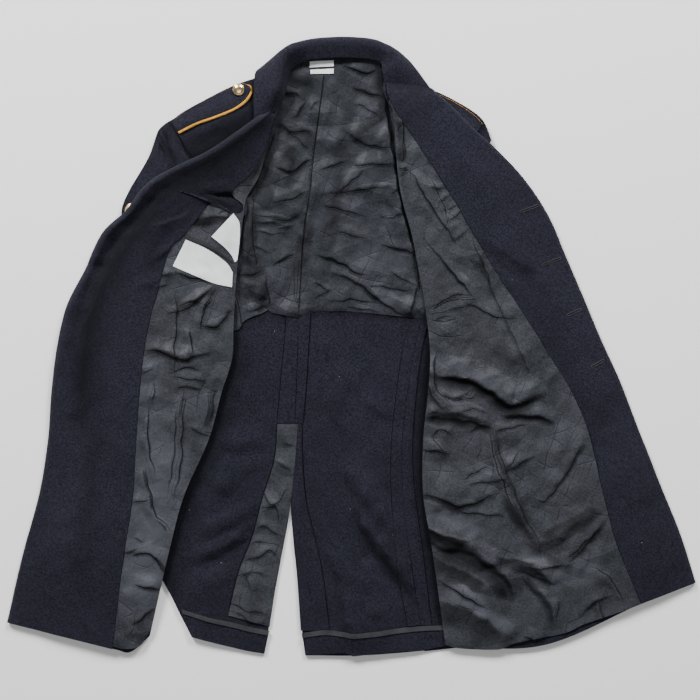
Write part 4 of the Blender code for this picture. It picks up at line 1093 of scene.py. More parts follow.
# The sleeve head's creases and the shade in its folds are painted dark, as painted shade.
SLEEVE_MARKS = (
    Mark(1.6, 0.9, ((-243, 310), (-239, 296), (-226, 274), (-211, 248))),
    Mark(2.6, 0.95, ((-258, 286), (-249, 271), (-241, 259), (-231, 238))),
)
SLEEVE_PAINTED_SHADE = (
    PaintedShading(5, 3, 0.75, ((-252, 293), (-243, 269), (-237, 255), (-230, 238))),
    PaintedShading(4, 4, 0.55, ((-263, 286), (-247, 255), (-240, 236))),
    PaintedShading(10, 10, 0.6, ((-246, 266), (-240, 250), (-234, 232))),
    PaintedShading(4, 14, 0.5, ((-262, 292), (-249, 271), (-241, 259), (-228, 232))),
    PaintedShading(4, 10, 0.4, ((-246, 312), (-239, 296), (-226, 274), (-206, 244))),
)

for side, rows in (("right", RIGHT_SLEEVE), ("left", LEFT_SLEEVE)):
    for layer, folds in (("under_sleeve_", ()), ("top_sleeve_", SLEEVE_FOLDS)):
        flat = laid(rows, SLEEVE_CUT, (layer + side,))
        flat[:, :, 2] += folded(flat, folds)
        cloth(layer + side, flat, WOOL, body_wool,
              crease_and_shade_marks(flat, (), SLEEVE_MARKS, SLEEVE_PAINTED_SHADE))

# ------------------------------------------------------------------ the shoulders
# The front shoulders are wool over pads, pressed into a smooth curve.  They are sewn to the
# back along the shoulder seam and run in under the lapels.

SHOULDER_CUT = Cut(step=10, cells=3, ease=2)

Shoulder = namedtuple("Shoulder", "seam pad chest")

RIGHT_SHOULDER = (
    Shoulder((-112, 362), (-111, 335), (-116, 303)),
    Shoulder((-136, 356), (-133, 330), (-130, 292)),
    Shoulder((-165, 345), (-158, 318), (-150, 276)),
    Shoulder((-198, 328), (-186, 300), (-176, 258)),
    Shoulder((-225, 313), (-211, 285), (-196, 244)),
    Shoulder((-240, 301), (-225, 277), (-203, 238)),
)
LEFT_SHOULDER = (
    Shoulder((92, 348), (84, 322), (78, 292)),
    Shoulder((119, 338.5), (110, 313), (102, 280)),
    Shoulder((147, 324), (138, 300), (126, 268)),
    Shoulder((169, 309.5), (160, 286), (146, 252)),
    Shoulder((179.5, 296), (169, 273), (152, 240)),
    Shoulder((187, 275), (173, 258), (158, 230)),
)
SHOULDER_FOLDS = (
    Fold(2.2, 11.9, 11.9, 0.6, ((-206, 276), (-180, 292), (-150, 306), (-122, 316))),
    Fold(-2.0, 8.5, 8.5, 0.5, ((-214, 266), (-190, 276), (-165, 290))),
)

# Painted shade over the right shoulder.
SHOULDER_PAINTED_SHADE = (
    PaintedShading(34, 34, 0.55, ((-232, 256), (-186, 282), (-140, 312))),
    PaintedShading(46, 40, 0.88, ((-270, 240), (-205, 252), (-165, 276), (-130, 296), (-112, 330),
                          (-104, 372))),
)

for side, rows in (("right", RIGHT_SHOULDER), ("left", LEFT_SHOULDER)):
    flat = laid(rows, SHOULDER_CUT, ("front_shoulder_" + side,))
    flat[:, :, 2] += folded(flat, SHOULDER_FOLDS)
    marks = crease_and_shade_marks(flat, (), (), SHOULDER_PAINTED_SHADE)
    cloth("front_shoulder_" + side, flat, WOOL, body_wool, marks)

# ------------------------------------------------------------------ the shoulder straps
# Each strap is a pointed tab of doubled wool, sewn in at the sleeve head and buttoned at the
# collar.  Gold cord, twisted from three strands, is sewn round its edge.

CORD = 4.2
SEAM_GAP = 0.3
CORD_TWIST = 7.0        # along the cord for a whole turn of its strands
CORD_STRANDS = 3
CORD_ROUND = 18
TUCK = 1.2              # how far the cord is tucked in below the strap's back edge
CORD_DROP = 2.4         # how far it goes down there
CORD_EASE = 4           # passes that round off the way into the tuck
CORD_STEP = 0.8
CORD_HUMP = 0.26        # how much of its half width a strand's hump is
STRAP_CUT = Cut(step=6, cells=3, ease=1)

RIGHT_STRAP = (
    Strip((-230, 287), (-238, 299)),
    Strip((-206, 299), (-218, 316)),
    Strip((-183, 307), (-196, 328)),
    Strip((-158, 317), (-169, 341)),
    Strip((-143, 327), (-151, 350)),
    Strip((-136, 336), (-141, 350)),
    Strip((-132.5, 343), (-134.5, 347)),
)
LEFT_STRAP = (
    Strip((152, 264), (175, 297)),
    Strip((138, 277), (162, 310)),
    Strip((120, 292), (141, 324)),
    Strip((106, 302), (119, 335)),
    Strip((100, 316), (107, 336)),
)


def piece_of(name, vertices, faces, material, slot, *nodes):
    """A closed solid that isn't a sheet, in place of the nodes."""
    mesh = bpy.data.meshes.new(name)
    mesh.from_pydata((np.asarray(vertices) * MM).tolist(), [], faces)
    mesh.shade_smooth()
    mesh.materials.append(material)
    piece = in_scene(name, mesh)
    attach(piece, "root")
    if nodes:
        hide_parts(*nodes)


def tube(path, radius, sides, closed=False):
    """Vertices and faces of a tube along a path; radius gives it from the length and the angle."""
    path = np.asarray(path, float)
    if closed:
        run = np.roll(path, -1, axis=0) - np.roll(path, 1, axis=0)
    else:
        run = np.gradient(path, axis=0)
    run /= np.linalg.norm(run, axis=1, keepdims=True)
    side = np.cross(run, (0.0, 0.0, 1.0))
    side /= np.linalg.norm(side, axis=1, keepdims=True)
    up = np.cross(side, run)
    gone = gone_along(path)
    angles = np.arange(sides) * 2 * math.pi / sides
    size = np.array([[radius(s, a) for a in angles] for s in gone])[..., None]
    around = np.cos(angles)[:, None] * side[:, None] + np.sin(angles)[:, None] * up[:, None]
    points = (path[:, None] + around * size).reshape(-1, 3)
    faces = []
    for i in range(len(path) if closed else len(path) - 1):
        here, there = i * sides, (i + 1) % len(path) * sides
        for k in range(sides):
            m = (k + 1) % sides
            faces.append((here + k, here + m, there + m, there + k))
    if not closed:
        faces.append(tuple(range(sides))[::-1])
        faces.append(tuple(range(len(points) - sides, len(points))))
    return points, faces


def braid_material():
    """Gilt thread: warm gold with darker gaps between the threads and a few dull patches."""
    material, tree, shader = new_material("gilt_cord")
    coords = place_in(tree)
    threads = add(tree, "TexWave", {"bands_direction": "DIAGONAL"}, Vector=coords, Scale=700.0,
                  Distortion=2.0, Detail=1.0)
    dull = noise(tree, coords, scale=150.0, detail=4.0)
    base = mixed(tree, threads.outputs["Fac"], (0.30, 0.12, 0.008, 1), (0.80, 0.42, 0.05, 1))
    worn = ranged(tree, dull, 0.52, 0.70, 0.0, 0.5)
    tree.links.new(mixed(tree, worn, base, (0.22, 0.11, 0.02, 1)), shader.inputs["Base Color"])
    tree.links.new(ranged(tree, dull, 0.3, 0.7, 0.4, 0.65), shader.inputs["Roughness"])
    shader.inputs["Metallic"].default_value = 0.35
    relief = add(tree, "Bump", Height=threads.outputs["Fac"], Distance=0.0003)
    tree.links.new(relief.outputs[0], shader.inputs["Normal"])
    return material


gilt_cord = braid_material()


def eased_line(values):
    """A column of values smoothed along its length."""
    for _ in range(CORD_EASE):
        padded = np.pad(values, ((1, 1), (0, 0)), mode="edge")
        values = (padded[:-2] + 2 * values + padded[2:]) / 4
    return values


def strand_radius(along, angle):
    """The outline of twisted strands: round humps that turn as they go along."""
    turned = angle - 2 * math.pi * along / CORD_TWIST
    hump = CORD_HUMP * abs(math.cos(turned * CORD_STRANDS / 2))
    return CORD / 2 * (1 - CORD_HUMP + hump)


for side, rows in (("right", RIGHT_STRAP), ("left", LEFT_STRAP)):
    flat = laid(rows, STRAP_CUT, ("shoulder_strap_" + side,))
    cloth("shoulder_strap_" + side, flat, WOOL, body_wool)
    up = normals(flat)
    middle = flat - up * WOOL / 2
    edge = np.concatenate([middle[:, 0], middle[::-1, -1]])
    outward = np.cross(np.gradient(edge, axis=0), np.concatenate([up[:, 0], up[::-1, -1]]))
    outward /= np.linalg.norm(outward, axis=1, keepdims=True)
    outward *= np.sign(np.sum(outward * (edge - middle.mean(axis=(0, 1)))))
    off = np.repeat([[CORD / 2 + SEAM_GAP], [-TUCK]], len(middle), axis=0)
    low = np.repeat([[0.0], [CORD_DROP]], len(middle), axis=0)
    place = edge + outward * eased_line(off) - (0, 0, 1) * eased_line(low)
    fine = smooth(place, CURVE_STEPS)
    gone = gone_along(fine[:, :2])
    path = sampled(fine, gone, max(2, round(gone[-1] / CORD_STEP) + 1))
    points, faces = tube(path, strand_radius, CORD_ROUND)
    piece_of("shoulder_cord_" + side + "_braid", points, faces, gilt_cord, "cord",
             "shoulder_cord_" + side)

# ------------------------------------------------------------------ the collar
# The collar is a stand and fall of wool, padded and pressed.  It rolls over round the back of
# the neck, lies on the right shoulder and is opened out on the left.

UNDER_COLLAR = 1.2
TOP_COLLAR = 1.5
COLLAR_STEP = 7
COLLAR_CELLS = 2

Collar = namedtuple("Collar", "foot crest turn edge")

COLLAR = (
    Collar((-99, 310, 8), (-107, 308, 14), (-117, 306, 16), (-128, 304, 14)),
    Collar((-96, 322, 10), (-104, 321, 19), (-115, 319, 19), (-128, 316, 16)),
    Collar((-89, 340, 10), (-98, 340, 27), (-112, 336, 22), (-128, 330, 16.5)),
    Collar((-86, 358, 9), (-95, 362, 25), (-111, 360, 20), (-127, 353, 15.5)),
    Collar((-80, 371, 8), (-91, 382, 22), (-105, 379, 15), (-121, 368, 10)),
    Collar((-67, 380, 7), (-78, 396, 19), (-84, 397, 10), (-82, 386, 5)),
    Collar((-52, 384, 9), (-54, 402, 14.5), (-55, 406, 9), (-53, 389, 3.6)),
    Collar((-24, 386, 9), (-24, 405, 14.5), (-24, 409, 9), (-24, 390, 3.6)),
    Collar((3, 386, 9), (3, 405, 14.5), (3, 409, 9), (3, 390, 3.6)),
    Collar((28, 384, 9), (31, 401, 15.5), (33, 405, 10), (29, 389, 3.6)),
    Collar((41, 378, 10), (54, 389, 18), (61, 392, 11), (66, 386, 5)),
    Collar((43, 364, 14), (60, 370, 19), (73, 373, 15), (83, 371, 10)),
    Collar((45, 349, 12.6), (65, 347.5, 12.5), (87, 344, 12.5), (107.5, 340.5, 12.4)),
)
collar = finer(loft(COLLAR, COLLAR_STEP), COLLAR_CELLS)
collar_up = normals(collar)
cloth("under_collar", collar + collar_up * UNDER_COLLAR, UNDER_COLLAR, body_wool)
top_height = UNDER_COLLAR + SEAM_GAP + TOP_COLLAR
cloth("top_collar", collar + collar_up * top_height, TOP_COLLAR, body_wool)

# ------------------------------------------------------------------ the fronts
# Each open front is wool, faced along its edge with the same wool and lined with satin.  The
# right one's lapel rolls under itself, and the left one lies open with four buttonholes.

ROLL_STEPS = 8
FRONT_LAYERS = WOOL + LAYER_GAP + FACING
FRONT_CUT = Cut(step=14, cells=3, ease=2)
FRONT_SINK = 1.0        # how far the front lies in, so that the facing's folds clear it
FACING_CUT = Cut(step=12, cells=4, ease=2)
FACING_WAVES = ((0.5, 53),)

Front = namedtuple("Front", "edge facing lining roll turn bow")

RIGHT_FRONT = (
    Front((-106, 322), (-94, 328), (-92.5, 329), 3.0, 130, 0),
    Front((-113, 311), (-99, 316), (-97.5, 317), 3.5, 140, 0),
    Front((-128, 303), (-104.5, 292), (-103.5, 291.5), 4.5, 150, 0),
    Front((-154, 284), (-114, 262), (-112.5, 261), 5.5, 150, 0),
    Front((-190, 260), (-132, 231), (-122, 228), 5.5, 150, 0),
    Front((-222, 245), (-158.5, 206), (-137.5, 202), 5.5, 150, 0),
    Front((-244, 234), (-144.2, 191), (-140.5, 191), 5.5, 147, 0),
    Front((-254, 229), (-149, 176), (-142.5, 174), 5.5, 144, 0),
    Front((-263, 223), (-160, 180), (-144, 168), 5.5, 142, 0),
    Front((-271, 216), (-184.5, 195.5), (-144.8, 165), 5.5, 140, 0),
    Front((-277, 210), (-198, 177), (-145, 162), 5.5, 137, 0),
    Front((-284, 203), (-206, 168), (-145.5, 158), 5.5, 135, 0),
    Front((-299, 182), (-222, 148), (-147, 146), 5.5, 120, 0),
    Front((-331, 152), (-240, 130), (-149, 128), 5.5, 105, 0),
    Front((-355, 103), (-253, 86), (-153, 82), 5.5, 95, 0),
    Front((-379, 54), (-266, 40), (-156, 30), 5.0, 90, 0),
    Front((-392, -3), (-275, -12), (-158, -15), 5.0, 85, 0),
    Front((-399, -60), (-281, -70), (-172, -60), 4.0, 80, 0),
    Front((-404, -123), (-285, -125), (-189, -122), 3.5, 75, 0),
    Front((-416, -196), (-290, -203), (-222, -198), 3.0, 70, 0),
    Front((-438, -277), (-302, -281), (-243, -277), 2.5, 65, 3),
    Front((-459, -366), (-317, -401), (-268, -384), 2.5, 65, 12),
)
LEFT_FRONT = (
    Front((109, 343.4), (47, 352.4), (45, 352.4), 2.0, 70, 0),
    Front((118, 334), (47.5, 338), (46, 337), 2.0, 70, 0),
    Front((136, 318), (62, 309), (56, 306), 2.5, 70, 0),
    Front((166, 288), (87, 272), (59.5, 264), 2.5, 70, 0),
    Front((196, 261), (110, 238), (62.5, 229), 2.5, 70, 0),
    Front((230, 225), (130, 206), (68.5, 194), 2.5, 70, 0),
    Front((262, 178), (158, 159), (80, 153), 2.5, 70, 0),
    Front((286, 123), (190, 104), (90, 102), 2.5, 70, 0),
    Front((307, 74), (219, 60), (98, 58), 2.5, 70, 0),
    Front((332, 14), (263, -10), (105, -5), 2.5, 70, 0),
    Front((358, -43), (294, -61), (102, -63), 2.5, 70, 0),
    Front((384, -110), (315, -112), (96, -123), 2.5, 70, 0),
    Front((411, -179), (335, -196), (96, -196), 2.5, 70, 5),
    Front((438, -245), (355, -267), (108, -269), 2.5, 70, 13),
    Front((460, -313), (386, -341), (126, -398), 2.5, 70, 27),
)
FACING_FOLDS_RIGHT = (
    Fold(2.0, 14, 4, 0.2, ((-204, 209), (-180, 208), (-160, 205), (-146, 197))),
    Fold(-5.0, 3, 4, 0.2, ((-190, 203), (-178, 202), (-161.5, 201), (-151, 196), (-139.5, 187))),
    Fold(2.5, 5, 8, 0.3, ((-202, 196), (-182, 197), (-164, 192), (-148, 183))),
    Fold(-6.0, 13.6, 15.3, 0.4, ((-200, 232), (-225, 222), (-250, 205), (-275, 185), (-300, 160),
                           (-318, 135), (-332, 112), (-346, 85), (-357, 58), (-366, 30),
                           (-370, 0), (-380, -28))),
    Fold(-8.0, 20, 13, 0.3, ((-150, 330), (-106, 323), (-60, 322))),
    Fold(2.2, 8.5, 13.6, 0.4, ((-350, 88), (-362, 58), (-374, 28), (-380, 0), (-388, -40))),
    Fold(2.4, 4, 11.4, 0.2, ((-272, 160), (-250, 163), (-224, 173), (-205, 186))),
    Fold(2.2, 9.5, 4, 0.2, ((-272, 108), (-256, 120), (-234, 138))),
    Fold(1.8, 10.2, 8.5, 0.3, ((-288, 82), (-270, 84), (-250, 91))),
    Fold(1.6, 23.8, 34, 0.8, ((-322, 10), (-318, -60), (-322, -130), (-330, -200))),
    Fold(-1.6, 23.8, 23.8, 0.8, ((-300, 20), (-298, -60), (-304, -140))),
    Fold(1.4, 13.6, 10.2, 0.4, ((-388, -86), (-365, -84), (-345, -82))),
    Fold(2.2, 40.8, 40.8, 0.9, ((-340, -170), (-352, -240), (-370, -320))),
    Fold(1.8, 30.6, 30.6, 0.9, ((-390, -200), (-404, -270), (-424, -345))),
)
FACING_FOLDS_LEFT = (
    Fold(2.0, 20.4, 13.6, 0.5, ((172, 146), (210, 124), (246, 94), (266, 62), (276, 24))),
    Fold(-1.6, 13.6, 17, 0.5, ((178, 136), (214, 112), (244, 82), (262, 48))),
    Fold(-2.6, 23.8, 20.4, 0.6, ((356, -68), (342, -95), (328, -126), (338, -172))),
    Fold(2.0, 27.2, 27.2, 0.8, ((388, -118), (382, -160), (396, -210))),
    Fold(1.8, 37.4, 37.4, 0.9, ((380, -220), (400, -262), (418, -310))),
    Fold(2.6, 17, 23.8, 0.6, ((62, 342), (66, 318), (78, 300))),
    Fold(1.6, 34, 34, 0.9, ((120, 280), (160, 230), (200, 180))),
)
FOLDS = {"right": FACING_FOLDS_RIGHT, "left": FACING_FOLDS_LEFT}
# Above the inside pocket its mouth gapes, and the cloth round it is pressed in. The mouth and its
# crease are painted dark, as painted shade.
FACING_MARKS = (
    Mark(2.2, 1.0, ((-192, 203), (-178, 202), (-161.5, 201), (-151, 196), (-143, 190))),
    Mark(0.8, 0.9, ((-175, 198), (-165, 196.5), (-156, 192), (-149, 187))),
)
# Painted shade on the facings: under the collar, along the lapel's roll and its folds, and in the
# pocket's mouth.
FACING_PAINTED_SHADE = (
    PaintedShading(16, 16, 0.4, ((44, 350), (76, 346), (114, 341))),
    PaintedShading(5, 20, 0.35, ((166, 148), (205, 122), (250, 94))),
    PaintedShading(24, 24, 0.22, ((236, 70), (262, 20), (290, -40), (318, -110))),
    PaintedShading(40, 26, 0.76, ((-100, 320), (-150, 268), (-185, 240), (-225, 216), (-262, 186),
                          (-290, 152), (-316, 112), (-336, 68), (-350, 20), (-356, -40),
                          (-360, -140))),
    PaintedShading(26, 26, 0.5, ((-140, 218), (-190, 202), (-230, 176), (-256, 140), (-280, 90))),
    PaintedShading(4, 26, 0.8, ((-216, 202), (-190, 203), (-178, 202), (-161.5, 201), (-151, 196),
                        (-140, 186))),
    PaintedShading(9, 5, 0.75, ((-140, 206), (-143, 194), (-146, 184), (-150, 172))),
    PaintedShading(9, 9, 0.5, ((-126, 318), (-110, 316), (-88, 318))),
    PaintedShading(22, 22, 0.25, ((-330, -60), (-340, -140), (-352, -230), (-366, -330))),
)
FRONT_ROWS = {"right": RIGHT_FRONT, "left": LEFT_FRONT}


def crest_of(row):
    """Where the edge of a front starts to roll under, and the way outwards there."""
    edge, facing = np.array(row.edge, float), np.array(row.facing, float)
    outward = (edge - facing) / np.linalg.norm(edge - facing)
    return edge - outward * (row.roll + FRONT_LAYERS)


def share_along(line):
    """How far along a line each of its points is, from 0 to 1."""
    gone = gone_along(line)
    return gone / gone[-1]


def rolled(flat, rows, layers):
    """The grid with a rolled-under edge added before its first column."""
    given = share_along(np.array([crest_of(row) for row in rows]))
    wanted = share_along(flat[:, 0, :2])
    radii = np.interp(wanted, given, [row.roll for row in rows]) + layers
    turns = np.radians(np.interp(wanted, given, [row.turn for row in rows]))
    grid = []
    for points, radius, turn in zip(flat, radii, turns):
        out = points[0] - points[-1]
        out[2] = 0.0
        out /= np.linalg.norm(out)
        arc = []
        for step in range(ROLL_STEPS, 0, -1):
            angle = turn * step / ROLL_STEPS
            drop = np.array([0, 0, radius * (math.cos(angle) - 1)])
            arc.append(points[0] + out * radius * math.sin(angle) + drop)
        grid.append(np.concatenate([arc, points]))
    grid = np.array(grid)
    grid[:, :, 2] = np.maximum(grid[:, :, 2], 2 * UNDERSIDE)
    return grid


for side, rows in FRONT_ROWS.items():
    sections = []
    for row in rows:
        middle = (np.array(row.facing, float) + row.lining) / 2 - (0, row.bow)
        sections.append([crest_of(row), row.facing, middle, row.lining])
    flat = laid(sections, FRONT_CUT, ("front_" + side,), -FRONT_SINK)
    flat[:, :, 2] += np.minimum(folded(flat, FOLDS[side]), 0)
    cloth("front_" + side, rolled(flat, rows, WOOL), WOOL, body_wool)

# The facing is the same wool as the body, painted a little lighter, as painted light.
facing_wool_painted_light = cloth_material("facing_wool_painted_light", nap, 0.0003, sheen=0.03, specular=0.12,
                             Deep=(0.0027, 0.0028, 0.0046, 1), Nap=(0.0207, 0.0208, 0.0347, 1))
for side, rows in FRONT_ROWS.items():
    sections = []
    for row in rows:
        crest, facing = crest_of(row), np.array(row.facing, float)
        inner = facing + (crest - facing) / np.linalg.norm(crest - facing) * SEAM_GAP
        sections.append([crest, (crest + inner) / 2, inner])
    flat = laid(sections, FACING_CUT, ("facing_" + side, "front_lining_" + side))
    flat[:, :, 2] += folded(flat, FOLDS[side]) + uneven(flat, FACING_WAVES)
    grid = rolled(flat, rows, FRONT_LAYERS)
    cloth("facing_" + side, grid, FACING, facing_wool_painted_light,
          crease_and_shade_marks(grid, (), FACING_MARKS, FACING_PAINTED_SHADE))

# Hand-worked buttonholes cross the left facing's edge, each a slit whose raw edges are oversewn.
HOLE_WIDTH = 2.8
HOLE_BEAD = 0.5
HOLE_PITCH = 0.7        # from one stitch to the next
HOLE_STEP = 0.3
HOLE_ENDS = 7           # places round each end of the ring
THREAD_ROUND = 8
STITCH = 0.3            # how much of the bead's half width a stitch stands out
STITCH_RISE = 0.25
SLIT = 0.9
SLIT_STEPS = 24
SLIT_DEPTH = 0.1

Hole = namedtuple("Hole", "inner outer")

BUTTONHOLES = (
    Hole((225.4, 180.2), (248.7, 188.9)),
    Hole((255.4, 109.7), (277.3, 118.4)),
    Hole((288.6, 43.2), (304.6, 50.5)),
    Hole((320.5, -25.3), (335.2, -17.3)),
)


def ringed(start, end, width, step):
    """A closed path round a slit, half its width away on each side."""
    start, end = np.array(start, float), np.array(end, float)
    run = (end - start) / np.linalg.norm(end - start)
    side = np.array([-run[1], run[0]])
    length = np.linalg.norm(end - start)
    half = width / 2
    count = round(length / step)
    turns = np.linspace(-math.pi / 2, math.pi / 2, HOLE_ENDS)[1:-1]
    path = [start + run * length * k / count - side * half for k in range(count + 1)]
    path += [end + run * half * math.cos(a) + side * half * math.sin(a) for a in turns]
    path += [end - run * length * k / count + side * half for k in range(count + 1)]
    path += [start - run * half * math.cos(a) - side * half * math.sin(a) for a in turns]
    return np.array(path)


def on_cloth(path, names, rise):
    """Places given a height above the named finished pieces."""
    heights = [(height_at(x, y, names) or 0.0) + rise for x, y in path]
    return np.column_stack([path, heights])


def stitch_radius(along, angle):
    """The outline of close stitches: a bead at each."""
    return HOLE_BEAD * (1 - STITCH + STITCH * abs(math.sin(math.pi * along / HOLE_PITCH)))


def slit_radius(along, angle):
    """The outline of the strand of painted shade in the slit: twice as wide as it is high."""
    return SLIT * (1 - 0.5 * abs(math.sin(angle)))


def joined(parts):
    """Several sets of vertices and faces as one."""
    vertices, faces = [], []
    for points, sides in parts:
        start = sum(len(group) for group in vertices)
        vertices.append(points)
        faces += [tuple(k + start for k in side) for side in sides]
    return np.concatenate(vertices), faces


thread_grey = cloth_material("thread_grey", woven, 0.0002, Deep=(0.011, 0.011, 0.014, 1),
                             Light=(0.060, 0.060, 0.066, 1))
# A near-black strand lies in each slit, painted shade standing in for the dark inside the cut.
slit_painted_shade = cloth_material("slit_painted_shade", nap, 0.0002, Deep=(0.002, 0.002, 0.003, 1),
                           Nap=(0.008, 0.008, 0.011, 1), Lint=0.0)
beads = []
slits = []
for hole in BUTTONHOLES:
    ring = ringed(hole.inner, hole.outer, HOLE_WIDTH, HOLE_STEP)
    ring = on_cloth(ring, ("facing_left_cloth",), STITCH_RISE)
    beads.append(tube(ring, stitch_radius, THREAD_ROUND, closed=True))
    line = np.linspace(hole.inner, hole.outer, SLIT_STEPS)
    slit = on_cloth(line, ("facing_left_cloth",), -SLIT_DEPTH)
    slits.append(tube(slit, slit_radius, THREAD_ROUND))
piece_of("buttonhole_stitches", *joined(beads), thread_grey, "wool")
piece_of("buttonhole_slits", *joined(slits), slit_painted_shade, "wool")

# ------------------------------------------------------------------ the front linings
# The rest of each front is lined with the same charcoal satin, felled to the facing and to
# the side seam.  It is cut with ease, so it lies in loose folds and small creases.

LINING_CUT = Cut(step=11, cells=5, ease=3)
LINING_WAVES = ((0.8, 61), (0.3, 23))
LINING_DIP = 0.6
LINING_PULL = 20

